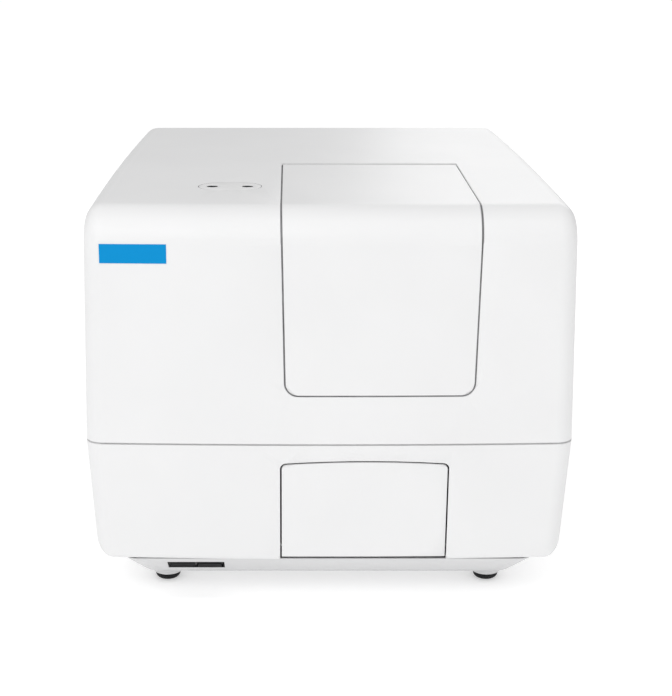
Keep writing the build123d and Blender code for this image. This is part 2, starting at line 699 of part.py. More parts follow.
def bush_places():
    """Rail side and depth of the four carrier bushes."""
    return [(x, y) for x in rail_xs() for y in (FRONT_BUSH_Y, REAR_BUSH_Y)]


def carrier_frame():
    """Open plate nest with a slider behind it that runs on the two rails."""
    half = CARRIER_WIDTH / 2
    top = NEST_FLOOR_Z + NEST_DEPTH
    frame = box_between((LOWER_DOOR_X - half, CARRIER_FRONT_Y, CARRIER_Z),
                        (LOWER_DOOR_X + half, SLIDER_FRONT_Y, top))
    frame = fillet(frame.edges().filter_by(Axis.Z), NEST_WALL)
    frame -= box_between((LOWER_DOOR_X - NEST_LENGTH / 2, NEST_FRONT_Y, NEST_FLOOR_Z),
                         (LOWER_DOOR_X + NEST_LENGTH / 2, NEST_REAR_Y, top + 1))
    window = box_between((LOWER_DOOR_X - NEST_LENGTH / 2 + NEST_LEDGE, NEST_FRONT_Y + NEST_LEDGE, 0),
                         (LOWER_DOOR_X + NEST_LENGTH / 2 - NEST_LEDGE, NEST_REAR_Y - NEST_LEDGE, top))
    frame -= fillet(window.edges().filter_by(Axis.Z), NEST_LEDGE)
    for x in (LOWER_DOOR_X - 34, LOWER_DOOR_X + 34):
        frame -= Pos(x, CARRIER_FRONT_Y, top) * Cylinder(NEST_FRONT_RIM, 2 * (NEST_DEPTH - 2))
    frame += box_between((LOWER_DOOR_X - SLIDER_WIDTH / 2, SLIDER_FRONT_Y - 1, CARRIER_Z),
                         (LOWER_DOOR_X + SLIDER_WIDTH / 2, SLIDER_REAR_Y, NEST_FLOOR_Z))
    for x in rail_xs():
        for y in (FRONT_BUSH_Y, REAR_BUSH_Y):
            frame += box_between((x - BUSH_R - 2, y - BUSH_LENGTH / 2, RAIL_Z - BUSH_R - 1.5),
                                 (x + BUSH_R + 2, y + BUSH_LENGTH / 2, CARRIER_Z))
            frame -= rod_along("Y", BUSH_R + PIN_CLEAR, y - BUSH_LENGTH, y + BUSH_LENGTH, (x, RAIL_Z))
    pivot = (LEVER_X, LEVER_PIVOT_Y)
    frame -= rod_along("Z", LEVER_PIN_R + PIN_CLEAR, CARRIER_Z - 1, NEST_FLOOR_Z + 1, pivot)
    frame -= box_between((LEVER_X - LEVER_WIDTH, NEST_REAR_Y - 1, NEST_FLOOR_Z),
                         (LEVER_X + LEVER_WIDTH, SLIDER_FRONT_Y + 1, top + 1))
    return single(frame)


def carrier_bushes():
    """Four plain bushes between the carrier and its rails."""
    bushes = []
    for x, y in bush_places():
        start = y - BUSH_LENGTH / 2
        end = y + BUSH_LENGTH / 2
        bush = rod_along("Y", BUSH_R, start, end, (x, RAIL_Z))
        bushes.append(single(bush - rod_along("Y", RAIL_R + RUN_CLEAR, start - 1, end + 1, (x, RAIL_Z))))
    return bushes


def carrier_rails():
    """Two ground steel rails."""
    return [rod_along("Y", RAIL_R, RAIL_FRONT_Y, RAIL_REAR_Y, (x, RAIL_Z)) for x in rail_xs()]


def rail_blocks():
    """Four blocks on the chassis that hold the ends of the rails."""
    blocks = []
    for x in rail_xs():
        for start in (RAIL_FRONT_Y, RAIL_REAR_Y - RAIL_BLOCK_LENGTH):
            block = box_between((x - RAIL_BLOCK_WIDTH / 2, start, CHASSIS_TOP_Z),
                                (x + RAIL_BLOCK_WIDTH / 2, start + RAIL_BLOCK_LENGTH, RAIL_Z + RAIL_R + 2.5))
            upper = block.edges().filter_by(Axis.Y).sort_by(Axis.Z)[2:]
            block = fillet(upper, RAIL_R)
            block -= rod_along("Y", RAIL_R + RUN_CLEAR, start - 1, start + RAIL_BLOCK_LENGTH + 1, (x, RAIL_Z))
            blocks.append(single(block))
    return blocks


def plate_lever():
    """Sprung lever that holds a plate against the front of the nest."""
    z = NEST_FLOOR_Z + SEAT
    tip_y = LEVER_PIVOT_Y - LEVER_REACH
    arm = box_between((LEVER_X - LEVER_WIDTH / 2, tip_y + LEVER_WIDTH / 2, z),
                      (LEVER_X + LEVER_WIDTH / 2, LEVER_PIVOT_Y, z + LEVER_THICK))
    arm += rod_along("Z", LEVER_WIDTH / 2, z, z + LEVER_THICK, (LEVER_X, LEVER_PIVOT_Y))
    arm += rod_along("Z", LEVER_WIDTH / 2, z, z + LEVER_THICK, (LEVER_X, tip_y + LEVER_WIDTH / 2))
    arm += rod_along("Z", LEVER_PIN_R, CARRIER_Z, z, (LEVER_X, LEVER_PIVOT_Y))
    return single(arm)


def belt_clamp():
    """Block under the slider that grips the belt's upper run."""
    run_z = RAIL_Z + PULLEY_R
    y = (FRONT_BUSH_Y + REAR_BUSH_Y) / 2 - 10
    block = box_between((LOWER_DOOR_X - BELT_WIDTH, y - CLAMP_HALF_LENGTH, run_z - CLAMP_BELOW_BELT),
                        (LOWER_DOOR_X + BELT_WIDTH, y + CLAMP_HALF_LENGTH, CARRIER_Z))
    slot = box_between((LOWER_DOOR_X - BELT_WIDTH / 2 - SEAT, y - 7, run_z - SEAT),
                       (LOWER_DOOR_X + BELT_WIDTH / 2 + SEAT, y + 7, run_z + BELT_THICK + SEAT))
    return single(block - slot)


# ---------------------------------------------------------------- belt drive
def pulley(y, hub_r):
    """Toothed and flanged pulley, with its bore of radius hub_r, or solid where hub_r is 0."""
    core_r = PULLEY_R - TOUCH
    body = rod_along("X", core_r, -PULLEY_WIDTH / 2, PULLEY_WIDTH / 2, (0, 0))
    groove = rod_along("X", PULLEY_TOOTH_DEPTH, -PULLEY_WIDTH, PULLEY_WIDTH, (core_r, 0))
    for i in range(PULLEY_TEETH):
        body -= Rot(360 / PULLEY_TEETH * i, 0, 0) * groove
    for side in (-1, 1):
        x = side * (PULLEY_WIDTH + PULLEY_FLANGE) / 2
        body += Pos(x, 0, 0) * Rot(0, 90, 0) * Cylinder(PULLEY_FLANGE_R, PULLEY_FLANGE)
    if hub_r > 0:
        body -= rod_along("X", hub_r, -PULLEY_WIDTH, PULLEY_WIDTH, (0, 0))
    return Pos(LOWER_DOOR_X, y, RAIL_Z) * single(body)


MOTOR_FACE_X = LOWER_DOOR_X + PULLEY_WIDTH / 2 + 8.0
SHAFT_IN_MOTOR = 10.0


def drive_pulley():
    """Pulley fixed on the drive motor's shaft."""
    shaft = rod_along("X", SHAFT_R, LOWER_DOOR_X - PULLEY_WIDTH, MOTOR_FACE_X + SHAFT_IN_MOTOR,
                      (DRIVE_PULLEY_Y, RAIL_Z))
    return single(pulley(DRIVE_PULLEY_Y, 0) + shaft)


def idler_pulley():
    """Pulley at the front end of the belt."""
    return pulley(IDLER_PULLEY_Y, SHAFT_R + RUN_CLEAR)


def idler_bracket():
    """Fork on the chassis with the idler's pin."""
    inner = PULLEY_WIDTH / 2 + PULLEY_FLANGE + END_CLEAR
    outer = inner + BRACKET_WALL
    fork = box_between((LOWER_DOOR_X - outer, IDLER_PULLEY_Y - 5, CHASSIS_TOP_Z),
                       (LOWER_DOOR_X + outer, IDLER_PULLEY_Y + 5, RAIL_Z + 5))
    fork -= box_between((LOWER_DOOR_X - inner, IDLER_PULLEY_Y - 6, CHASSIS_TOP_Z + 4),
                        (LOWER_DOOR_X + inner, IDLER_PULLEY_Y + 6, RAIL_Z + 6))
    fork += rod_along("X", SHAFT_R, LOWER_DOOR_X - outer, LOWER_DOOR_X + outer, (IDLER_PULLEY_Y, RAIL_Z))
    return single(fork)


def drive_belt():
    """Closed belt run round the drive pulley and the idler."""
    length = DRIVE_PULLEY_Y - IDLER_PULLEY_Y
    middle = (DRIVE_PULLEY_Y + IDLER_PULLEY_Y) / 2
    band = SlotCenterToCenter(length, 2 * (PULLEY_R + BELT_THICK)) - SlotCenterToCenter(length, 2 * PULLEY_R)
    belt = extrude(band, BELT_WIDTH / 2, both=True)
    return Pos(LOWER_DOOR_X, middle, RAIL_Z) * Rot(0, 90, 0) * Rot(0, 0, 90) * single(belt)


def stepper(face, size, length, shaft_r, boss_r):
    """Square stepper motor, its mounting face at the origin and its body towards +X."""
    body = box_between((0, -size / 2, -size / 2), (length, size / 2, size / 2))
    body = chamfer(body.edges().filter_by(Axis.X), MOTOR_CORNER)
    body += rod_along("X", boss_r, -MOTOR_BOSS, 0, (0, 0))
    body -= rod_along("X", shaft_r + PIN_CLEAR, -MOTOR_BOSS - 1, SHAFT_IN_MOTOR + 1, (0, 0))
    return face * single(body)


def drive_motor():
    """Stepper that drives the belt."""
    face = Pos(MOTOR_FACE_X, DRIVE_PULLEY_Y, RAIL_Z)
    return stepper(face, MOTOR_SIZE, MOTOR_LENGTH, SHAFT_R, MOTOR_BOSS_R)


def motor_bracket():
    """Upright plate with a foot, between the drive motor and the chassis."""
    half = MOTOR_SIZE / 2
    plate = box_between((MOTOR_FACE_X - BRACKET_WALL, DRIVE_PULLEY_Y - half, CHASSIS_TOP_Z),
                        (MOTOR_FACE_X, DRIVE_PULLEY_Y + half, RAIL_Z + half))
    plate += box_between((MOTOR_FACE_X, DRIVE_PULLEY_Y - half, CHASSIS_TOP_Z),
                         (MOTOR_FACE_X + MOTOR_LENGTH / 2, DRIVE_PULLEY_Y + half,
                          CHASSIS_TOP_Z + BRACKET_WALL))
    hole = rod_along("X", MOTOR_BOSS_R + TOUCH, MOTOR_FACE_X - 9, MOTOR_FACE_X + 1, (DRIVE_PULLEY_Y, RAIL_Z))
    return single(plate - hole)


# ---------------------------------------------------------------- read chamber and reading head
CHAMBER_LEFT_X = LOWER_DOOR_X - CHAMBER_WIDTH / 2
CHAMBER_RIGHT_X = LOWER_DOOR_X + CHAMBER_WIDTH / 2
LID_TOP_Z = CHAMBER_TOP_Z + LID_THICK


def chamber_walls():
    """Light-tight walls round the carrier, open at the front, with holes for the rails and belt."""
    walls = box_between((CHAMBER_LEFT_X - CHAMBER_WALL, CHAMBER_FRONT_Y, CHASSIS_TOP_Z),
                        (CHAMBER_RIGHT_X + CHAMBER_WALL, CHAMBER_REAR_Y + CHAMBER_WALL, CHAMBER_TOP_Z))
    walls -= box_between((CHAMBER_LEFT_X, CHAMBER_FRONT_Y - 1, 0),
                         (CHAMBER_RIGHT_X, CHAMBER_REAR_Y, CHAMBER_TOP_Z + 1))
    for x in rail_xs():
        walls -= rod_along("Y", RAIL_R + 1, CHAMBER_REAR_Y - 1, CHAMBER_REAR_Y + 9, (x, RAIL_Z))
    reach = PULLEY_R + BELT_THICK + 1
    walls -= box_between((LOWER_DOOR_X - BELT_WIDTH, CHAMBER_REAR_Y - 1, RAIL_Z - reach),
                         (LOWER_DOOR_X + BELT_WIDTH, CHAMBER_REAR_Y + 9, RAIL_Z + reach))
    return single(walls)


INJECTOR_BLOCK_X = CHAMBER_LEFT_X + 20.0
INJECTOR_BLOCK_Y = -165.0
INJECTOR_Z = LID_TOP_Z + 9.0


def chamber_lid():
    """Heated lid over the chamber, with the slot that the head reads through and the injector block."""
    lid = box_between((CHAMBER_LEFT_X - CHAMBER_WALL, CHAMBER_FRONT_Y, CHAMBER_TOP_Z),
                      (CHAMBER_RIGHT_X + CHAMBER_WALL, CHAMBER_REAR_Y + CHAMBER_WALL, LID_TOP_Z))
    slot_length = 2 * (HEAD_TRAVEL + LENS_R + SLOT_END_MARGIN)
    slot = extrude(SlotOverall(slot_length, SLOT_WIDTH), 4 * LID_THICK, both=True)
    lid -= Pos(LOWER_DOOR_X, HEAD_Y, CHAMBER_TOP_Z) * slot
    lid += box_between((INJECTOR_BLOCK_X, INJECTOR_BLOCK_Y - 10, LID_TOP_Z),
                       (INJECTOR_BLOCK_X + 16, INJECTOR_BLOCK_Y + 10, INJECTOR_Z + 5))
    return single(lid)


def head_rail_ys():
    """Depths of the two head rails."""
    return (HEAD_Y - HEAD_RAIL_SPACING / 2, HEAD_Y + HEAD_RAIL_SPACING / 2)


HEAD_SCREW_Z = HEAD_RAIL_Z - 8.0
FRAME_LEFT_X = LOWER_DOOR_X - HEAD_FRAME_X
FRAME_RIGHT_X = LOWER_DOOR_X + HEAD_FRAME_X
JOURNAL_R = HEAD_SCREW_R - 0.5


def head_brackets():
    """Two upright plates on the chassis that carry the head's rails and screw."""
    plates = []
    for start in (FRAME_LEFT_X - HEAD_FRAME_WALL, FRAME_RIGHT_X):
        end = start + HEAD_FRAME_WALL
        plate = box_between((start, HEAD_Y - HEAD_LENGTH / 2, CHASSIS_TOP_Z),
                            (end, HEAD_Y + HEAD_LENGTH / 2, HEAD_TOP_Z + 8))
        plate = fillet(plate.edges().filter_by(Axis.X).sort_by(Axis.Z)[2:], 8)
        plate -= box_between((start - 1, HEAD_Y - HEAD_WINDOW_HALF, CHASSIS_TOP_Z + HEAD_WINDOW_SILL),
                             (end + 1, HEAD_Y + HEAD_WINDOW_HALF, HEAD_SCREW_Z - HEAD_WINDOW_DROP))
        for y in head_rail_ys():
            plate -= rod_along("X", HEAD_RAIL_R + RUN_CLEAR, start - 1, end + 1, (y, HEAD_RAIL_Z))
        plate -= rod_along("X", JOURNAL_R + RUN_CLEAR, start - 1, end + 1, (HEAD_Y, HEAD_SCREW_Z))
        plates.append(single(plate))
    return plates


def head_rails():
    """Two rails across the chamber for the reading head."""
    start = FRAME_LEFT_X - HEAD_FRAME_WALL
    end = FRAME_RIGHT_X + HEAD_FRAME_WALL
    return [rod_along("X", HEAD_RAIL_R, start, end, (y, HEAD_RAIL_Z)) for y in head_rail_ys()]


def head_screw():
    """Lead screw of the reading head, with its end journals."""
    screw = rod_along("X", HEAD_SCREW_R, FRAME_LEFT_X + SEAT, FRAME_RIGHT_X - SEAT, (HEAD_Y, HEAD_SCREW_Z))
    screw += rod_along("X", JOURNAL_R, FRAME_LEFT_X - HEAD_FRAME_WALL - SHAFT_IN_MOTOR,
                       FRAME_RIGHT_X + HEAD_FRAME_WALL, (HEAD_Y, HEAD_SCREW_Z))
    return single(screw)


HEAD_MOTOR_SIZE = 35.0
HEAD_MOTOR_LENGTH = 30.0


def head_motor():
    """Stepper on the left plate that turns the head's screw."""
    face = Pos(FRAME_LEFT_X - HEAD_FRAME_WALL, HEAD_Y, HEAD_SCREW_Z) * Rot(0, 0, 180)
    body = box_between((0, -HEAD_MOTOR_SIZE / 2, -HEAD_MOTOR_SIZE / 2),
                       (HEAD_MOTOR_LENGTH, HEAD_MOTOR_SIZE / 2, HEAD_MOTOR_SIZE / 2))
    body = chamfer(body.edges().filter_by(Axis.X), MOTOR_CORNER)
    body -= rod_along("X", JOURNAL_R + PIN_CLEAR, -1, SHAFT_IN_MOTOR + 1, (0, 0))
    return face * single(body)


def read_head():
    """Optical head that slides on its rails above the chamber's slot."""
    head = box_between((LOWER_DOOR_X - HEAD_WIDTH / 2, HEAD_Y - HEAD_LENGTH / 2, HEAD_BOTTOM_Z),
                       (LOWER_DOOR_X + HEAD_WIDTH / 2, HEAD_Y + HEAD_LENGTH / 2, HEAD_TOP_Z))
    head = fillet(head.edges().filter_by(Axis.Z), 4)
    for y in head_rail_ys():
        head -= rod_along("X", HEAD_RAIL_R + RUN_CLEAR, LOWER_DOOR_X - HEAD_WIDTH, LOWER_DOOR_X + HEAD_WIDTH,
                          (y, HEAD_RAIL_Z))
    head -= rod_along("X", HEAD_SCREW_R + RUN_CLEAR, LOWER_DOOR_X - HEAD_WIDTH, LOWER_DOOR_X + HEAD_WIDTH,
                      (HEAD_Y, HEAD_SCREW_Z))
    for x in (LOWER_DOOR_X - 9, LOWER_DOOR_X + 9):
        head += rod_along("Z", 4, HEAD_TOP_Z, HEAD_TOP_Z + 7, (x, HEAD_Y))
    return single(head)


def lens_barrel():
    """Lens barrel under the head."""
    barrel = rod_along("Z", LENS_R, LENS_BOTTOM_Z, HEAD_BOTTOM_Z, (LOWER_DOOR_X, HEAD_Y))
    dish = rod_along("Z", LENS_R - 3, LENS_BOTTOM_Z - 1, LENS_BOTTOM_Z + 1.5, (LOWER_DOOR_X, HEAD_Y))
    return single(barrel - dish)


# ---------------------------------------------------------------- filter bay
OPENING_MARGIN = UPPER_DOOR_GAP / 2 + BAY_SIDE_MARGIN
BAY_LEFT_X = UPPER_DOOR_LEFT_X - OPENING_MARGIN
BAY_RIGHT_X = UPPER_DOOR_RIGHT_X + OPENING_MARGIN
BAY_FLOOR_Z = UPPER_DOOR_BOTTOM_Z - OPENING_MARGIN
BAY_REAR_Y = UPPER_DOOR_HINGE_Y + UPPER_OPENING_REAR_CLEAR + BAY_REAR_MARGIN


def bay_liner():
    """Tub behind the upper door, whose rim meets the inside of the cover."""
    block = box_between((BAY_LEFT_X - BAY_WALL, FRONT_Y, BAY_FLOOR_Z - BAY_WALL),
                        (BAY_RIGHT_X + BAY_WALL, BAY_REAR_Y + BAY_WALL, CASE_HEIGHT))
    tub = block & upper_form(CASE_WALL + SEAT)
    tub -= box_between((BAY_LEFT_X, FRONT_Y - 1, BAY_FLOOR_Z), (BAY_RIGHT_X, BAY_REAR_Y, CASE_HEIGHT + 1))
    return single(tub)


def cube_socket():
    """Open frame on the bay's floor that the filter cube drops into."""
    half_x = CUBE_WIDTH / 2 + CUBE_CLEAR + SOCKET_WALL
    half_y = CUBE_DEPTH / 2 + CUBE_CLEAR + SOCKET_WALL
    socket = box_between((CUBE_X - half_x, CUBE_Y - half_y, BAY_FLOOR_Z),
                         (CUBE_X + half_x, CUBE_Y + half_y, BAY_FLOOR_Z + SOCKET_HEIGHT))
    socket = fillet(socket.edges().filter_by(Axis.Z), SOCKET_WALL)
    well_x = half_x - SOCKET_WALL
    well_y = half_y - SOCKET_WALL
    socket -= box_between((CUBE_X - well_x, CUBE_Y - well_y, BAY_FLOOR_Z + SOCKET_FLOOR),
                          (CUBE_X + well_x, CUBE_Y + well_y, CASE_HEIGHT))
    return single(socket)


CUBE_BOTTOM_Z = BAY_FLOOR_Z + SOCKET_FLOOR + SEAT
CUBE_TOP_Z = CUBE_BOTTOM_Z + CUBE_HEIGHT
FILTER_Z = CUBE_BOTTOM_Z + SOCKET_HEIGHT + FILTER_R + 4.0
FILTER_THICK = 4.0
FILTER_INSET = 1.5


def filter_places():
    """Sideways places of the cube's two filters."""
    return (CUBE_X - CUBE_WIDTH / 4, CUBE_X + CUBE_WIDTH / 4)


def filter_cube():
    """Filter cube with two light paths and a handle."""
    cube = box_between((CUBE_X - CUBE_WIDTH / 2, CUBE_Y - CUBE_DEPTH / 2, CUBE_BOTTOM_Z),
                       (CUBE_X + CUBE_WIDTH / 2, CUBE_Y + CUBE_DEPTH / 2, CUBE_TOP_Z))
    cube = fillet(cube.edges().filter_by(Axis.Z), 3)
    for x in filter_places():
        cube -= rod_along("Y", FILTER_R + PIN_CLEAR, CUBE_Y - CUBE_DEPTH, CUBE_Y + CUBE_DEPTH, (x, FILTER_Z))
    bar_z = CUBE_TOP_Z + CUBE_HANDLE_HEIGHT - CUBE_HANDLE_BAR_R
    for x in (CUBE_X - 20, CUBE_X + 20):
        cube += rod_along("Z", CUBE_HANDLE_BAR_R, CUBE_TOP_Z, bar_z, (x, CUBE_Y))
        cube += Pos(x, CUBE_Y, bar_z) * Sphere(CUBE_HANDLE_BAR_R)
    cube += rod_along("X", CUBE_HANDLE_BAR_R, CUBE_X - 20, CUBE_X + 20, (CUBE_Y, bar_z))
    return single(cube)


def cube_filters():
    """Two interference filters in the front of the cube."""
    start = CUBE_Y - CUBE_DEPTH / 2 + FILTER_INSET
    return [rod_along("Y", FILTER_R, start, start + FILTER_THICK, (x, FILTER_Z)) for x in filter_places()]


# ---------------------------------------------------------------- optics on the left
DECK_TOP_Z = DECK_Z + DECK_THICK
MONO_X = (DECK_LEFT_X + DECK_RIGHT_X) / 2
EMISSION_Y = DECK_FRONT_Y + MONO_DEPTH / 2 + 12.0
EXCITATION_Y = EMISSION_Y + MONO_DEPTH + MONO_GAP
LAMP_Y = EXCITATION_Y + MONO_DEPTH / 2 + MONO_GAP + LAMP_SIZE / 2
LEG_XS = (-156.0, -80.0)


def optics_deck():
    """Folded deck on four legs that carries the lamp and the monochromators."""
    deck = box_between((DECK_LEFT_X, DECK_FRONT_Y, DECK_Z), (DECK_RIGHT_X, DECK_REAR_Y, DECK_TOP_Z))
    deck = fillet(deck.edges().filter_by(Axis.Z), 6)
    for x in LEG_XS:
        for start in (DECK_FRONT_Y, DECK_REAR_Y - DECK_THICK):
            deck += box_between((x - DECK_LEG_WIDTH / 2, start, CHASSIS_TOP_Z),
                                (x + DECK_LEG_WIDTH / 2, start + DECK_THICK, DECK_Z))
    for y in (EMISSION_Y, EXCITATION_Y):
        deck -= rod_along("Z", SPINDLE_R + RUN_CLEAR, DECK_Z - 1, DECK_TOP_Z + 1, (MONO_X, y))
    return single(deck)


def monochromator_housing(y):
    """Cast cover over a grating, open below where the deck closes it, with two light ports."""
    top = DECK_TOP_Z + MONO_HEIGHT
    cover = box_between((MONO_X - MONO_WIDTH / 2, y - MONO_DEPTH / 2, DECK_TOP_Z),
                        (MONO_X + MONO_WIDTH / 2, y + MONO_DEPTH / 2, top))
    cover = fillet(cover.edges().filter_by(Axis.Z), 8)
    cover -= box_between((MONO_X - MONO_WIDTH / 2 + MONO_WALL, y - MONO_DEPTH / 2 + MONO_WALL, 0),
                         (MONO_X + MONO_WIDTH / 2 - MONO_WALL, y + MONO_DEPTH / 2 - MONO_WALL,
                          top - MONO_WALL))
    for x in (MONO_X - 28, MONO_X + 28):
        cover -= rod_along("Y", 5, y - MONO_DEPTH, y + MONO_DEPTH, (x, DECK_TOP_Z + 26))
    return single(cover)


def grating_turntable(y):
    """Grating on its turntable, with the spindle that turns in the deck."""
    base_z = DECK_TOP_Z + SEAT
    table = rod_along("Z", TURNTABLE_R, base_z, base_z + TURNTABLE_THICK, (MONO_X, y))
    table += rod_along("Z", SPINDLE_R, DECK_Z, base_z, (MONO_X, y))
    table += box_between((MONO_X - GRATING_SIZE / 2, y - GRATING_THICK / 2, base_z + TURNTABLE_THICK),
                         (MONO_X + GRATING_SIZE / 2, y + GRATING_THICK / 2,
                          base_z + TURNTABLE_THICK + GRATING_SIZE))
    return single(table)


def lamp_housing():
    """Lamp housing with an open top and a light port."""
    half = LAMP_SIZE / 2
    inner = half - LAMP_WALL
    top = DECK_TOP_Z + LAMP_HEIGHT
    box = box_between((MONO_X - half, LAMP_Y - half, DECK_TOP_Z), (MONO_X + half, LAMP_Y + half, top))
    box -= box_between((MONO_X - inner, LAMP_Y - inner, DECK_TOP_Z + LAMP_WALL),
                       (MONO_X + inner, LAMP_Y + inner, top + 1))
    box -= rod_along("Y", 8, LAMP_Y - LAMP_SIZE, LAMP_Y, (MONO_X, DECK_TOP_Z + 30))
    return single(box)


def xenon_lamp():
    """Flash lamp standing on the floor of its housing."""
    floor = DECK_TOP_Z + LAMP_WALL
    lamp = rod_along("Z", BULB_R, floor, floor + 10, (MONO_X, LAMP_Y))
    lamp += rod_along("Z", BULB_R - 3, floor + 10, floor + BULB_LENGTH, (MONO_X, LAMP_Y))
    top = lamp.edges().filter_by(GeomType.CIRCLE).sort_by(Axis.Z)[-1]
    return single(fillet(top, BULB_R - 4))


def detector_housing():
    """Photomultiplier housing lying in its saddle on the emission monochromator."""
    base = DECK_TOP_Z + MONO_HEIGHT
    z = base + DETECTOR_R + 4
    half = DETECTOR_LENGTH / 2
    body = rod_along("X", DETECTOR_R, MONO_X - half, MONO_X + half, (EMISSION_Y, z))
    body += box_between((MONO_X - DETECTOR_LENGTH / 3, EMISSION_Y - DETECTOR_R + 4, base),
                        (MONO_X + DETECTOR_LENGTH / 3, EMISSION_Y + DETECTOR_R - 4, z))
    return single(body)


# ---------------------------------------------------------------- electronics at the back
PANEL_INNER_Y = REAR_Y - PANEL_THICK


def rear_panel():
    """Steel panel with the fan grille and the cut-outs for the sockets."""
    panel = panel_box(0, PANEL_THICK)
    for ring in range(3):
        radius = FAN_BORE_R - 2 - 8 * ring
        annulus = Circle(radius) - Circle(radius - 4.5)
        cut = extrude(annulus - Rectangle(3, FAN_SIZE) - Rectangle(FAN_SIZE, 3), 3 * PANEL_THICK, both=True)
        panel -= Pos(FAN_X, REAR_Y, PANEL_Z) * Rot(90, 0, 0) * cut
    panel -= box_between((INLET_X - INLET_WIDTH / 2, 0, PANEL_Z - INLET_HEIGHT / 2),
                         (INLET_X + INLET_WIDTH / 2, FAR, PANEL_Z + INLET_HEIGHT / 2))
    panel -= box_between((USB_X - USB_SIZE / 2, 0, PANEL_Z - USB_SIZE / 2),
                         (USB_X + USB_SIZE / 2, FAR, PANEL_Z + USB_SIZE / 2))
    for x in SOCKET_X:
        panel -= rod_along("Y", SOCKET_R, 0, FAR, (x, PANEL_Z))
    return single(panel)


INLET_WALL = 2.0
INLET_FLANGE = 3.0
PIN_THICK = 2.0


def power_inlet():
    """Mains inlet, an open shell with a bevelled top, set in the panel."""
    half_w = INLET_WIDTH / 2 - TOUCH
    half_h = INLET_HEIGHT / 2 - TOUCH
    front = PANEL_INNER_Y - INLET_DEPTH
    body = box_between((INLET_X - half_w, front, PANEL_Z - half_h),
                       (INLET_X + half_w, REAR_Y, PANEL_Z + half_h))
    body = chamfer(body.edges().filter_by(Axis.Y).sort_by(Axis.Z)[2:], INLET_BEVEL)
    body += box_between((INLET_X - half_w - INLET_FLANGE, PANEL_INNER_Y - 2, PANEL_Z - half_h - INLET_FLANGE),
                        (INLET_X + half_w + INLET_FLANGE, PANEL_INNER_Y, PANEL_Z + half_h + INLET_FLANGE))
    recess = box_between((INLET_X - half_w + INLET_WALL, front + 2, PANEL_Z - half_h + INLET_WALL),
                         (INLET_X + half_w - INLET_WALL, REAR_Y + 1, PANEL_Z + half_h - INLET_WALL))
    return single(body - chamfer(recess.edges().filter_by(Axis.Y).sort_by(Axis.Z)[2:], INLET_BEVEL))


def inlet_pins():
    """Three flat contacts of the mains inlet."""
    start = PANEL_INNER_Y - INLET_DEPTH + 2
    pins = []
    for x, z in ((-7, -2), (0, 2), (7, -2)):
        pins.append(box_between((INLET_X + x - PIN_THICK / 2, start, PANEL_Z + z - 2),
                                (INLET_X + x + PIN_THICK / 2, REAR_Y - 4, PANEL_Z + z + 2)))
    return pins


def usb_socket():
    """Square data socket, open to the back, with its tongue."""
    half = USB_SIZE / 2 - TOUCH
    shell = box_between((USB_X - half, PANEL_INNER_Y - USB_DEPTH, PANEL_Z - half),
                        (USB_X + half, REAR_Y, PANEL_Z + half))
    recess_y = PANEL_INNER_Y - USB_DEPTH + USB_FLOOR
    shell -= box_between((USB_X - half + USB_WALL, recess_y, PANEL_Z - half + USB_WALL),
                         (USB_X + half - USB_WALL, REAR_Y + 1, PANEL_Z + half - USB_WALL))
    tongue = half - USB_TONGUE_INSET
    shell += box_between((USB_X - tongue, recess_y - 1, PANEL_Z - USB_TONGUE_THICK / 2),
                         (USB_X + tongue, REAR_Y - 3, PANEL_Z + USB_TONGUE_THICK / 2))
    return single(shell)


def dispenser_sockets():
    """Two round sockets for an outside dispenser."""
    sockets = []
    for x in SOCKET_X:
        body = rod_along("Y", SOCKET_R - TOUCH, PANEL_INNER_Y - 14, REAR_Y, (x, PANEL_Z))
        body -= rod_along("Y", SOCKET_R - 2.5, PANEL_INNER_Y - 10, REAR_Y + 1, (x, PANEL_Z))
        body += rod_along("Y", 2.4, PANEL_INNER_Y - 11, REAR_Y - 3, (x, PANEL_Z))
        sockets.append(single(body))
    return sockets


FAN_AXLE_R = 2.0


def fan_frame():
    """Square fan frame with the spider that carries the rotor's axle."""
    rear = PANEL_INNER_Y
    front = rear - FAN_DEPTH
    half = FAN_SIZE / 2
    frame = box_between((FAN_X - half, front, PANEL_Z - half), (FAN_X + half, rear, PANEL_Z + half))
    frame = fillet(frame.edges().filter_by(Axis.Y), 4)
    frame -= rod_along("Y", FAN_BORE_R, front - 1, rear + 1, (FAN_X, PANEL_Z))
    frame += rod_along("Y", FAN_HUB_R, front, front + 3, (FAN_X, PANEL_Z))
    for angle in (45, 165, 285):
        arm = box_between((0, front, -2), (FAN_BORE_R + 1, front + 3, 2))
        frame += Pos(FAN_X, 0, PANEL_Z) * Rot(0, angle, 0) * arm
    frame += rod_along("Y", FAN_AXLE_R, front, front + FAN_DEPTH - 6, (FAN_X, PANEL_Z))
    return single(frame)


def fan_rotor():
    """Fan rotor with twisted blades."""
    front = PANEL_INNER_Y - FAN_DEPTH + 3 + SEAT
    rear = PANEL_INNER_Y - 3
    depth = rear - front
    rotor = rod_along("Y", FAN_HUB_R, front, rear, (0, 0))
    blade = box_between((FAN_HUB_R - 2, -0.8, -depth / 2 + 1), (FAN_BORE_R - 1.2, 0.8, depth / 2 - 1))
    for i in range(FAN_BLADES):
        turned = Rot(90, 0, 0) * Rot(35, 0, 0) * blade
        rotor += Rot(0, 360 / FAN_BLADES * i, 0) * Pos(0, (front + rear) / 2, 0) * turned
    rotor &= rod_along("Y", FAN_BORE_R - 1, front, rear, (0, 0))
    rotor -= rod_along("Y", FAN_AXLE_R + RUN_CLEAR, front - 1, rear - 3 + SEAT, (0, 0))
    return Pos(FAN_X, 0, PANEL_Z) * single(rotor)


SUPPLY_X = 90.0
SUPPLY_Y = 162.0
BOARD_X = -18.0
BOARD_Y = 160.0


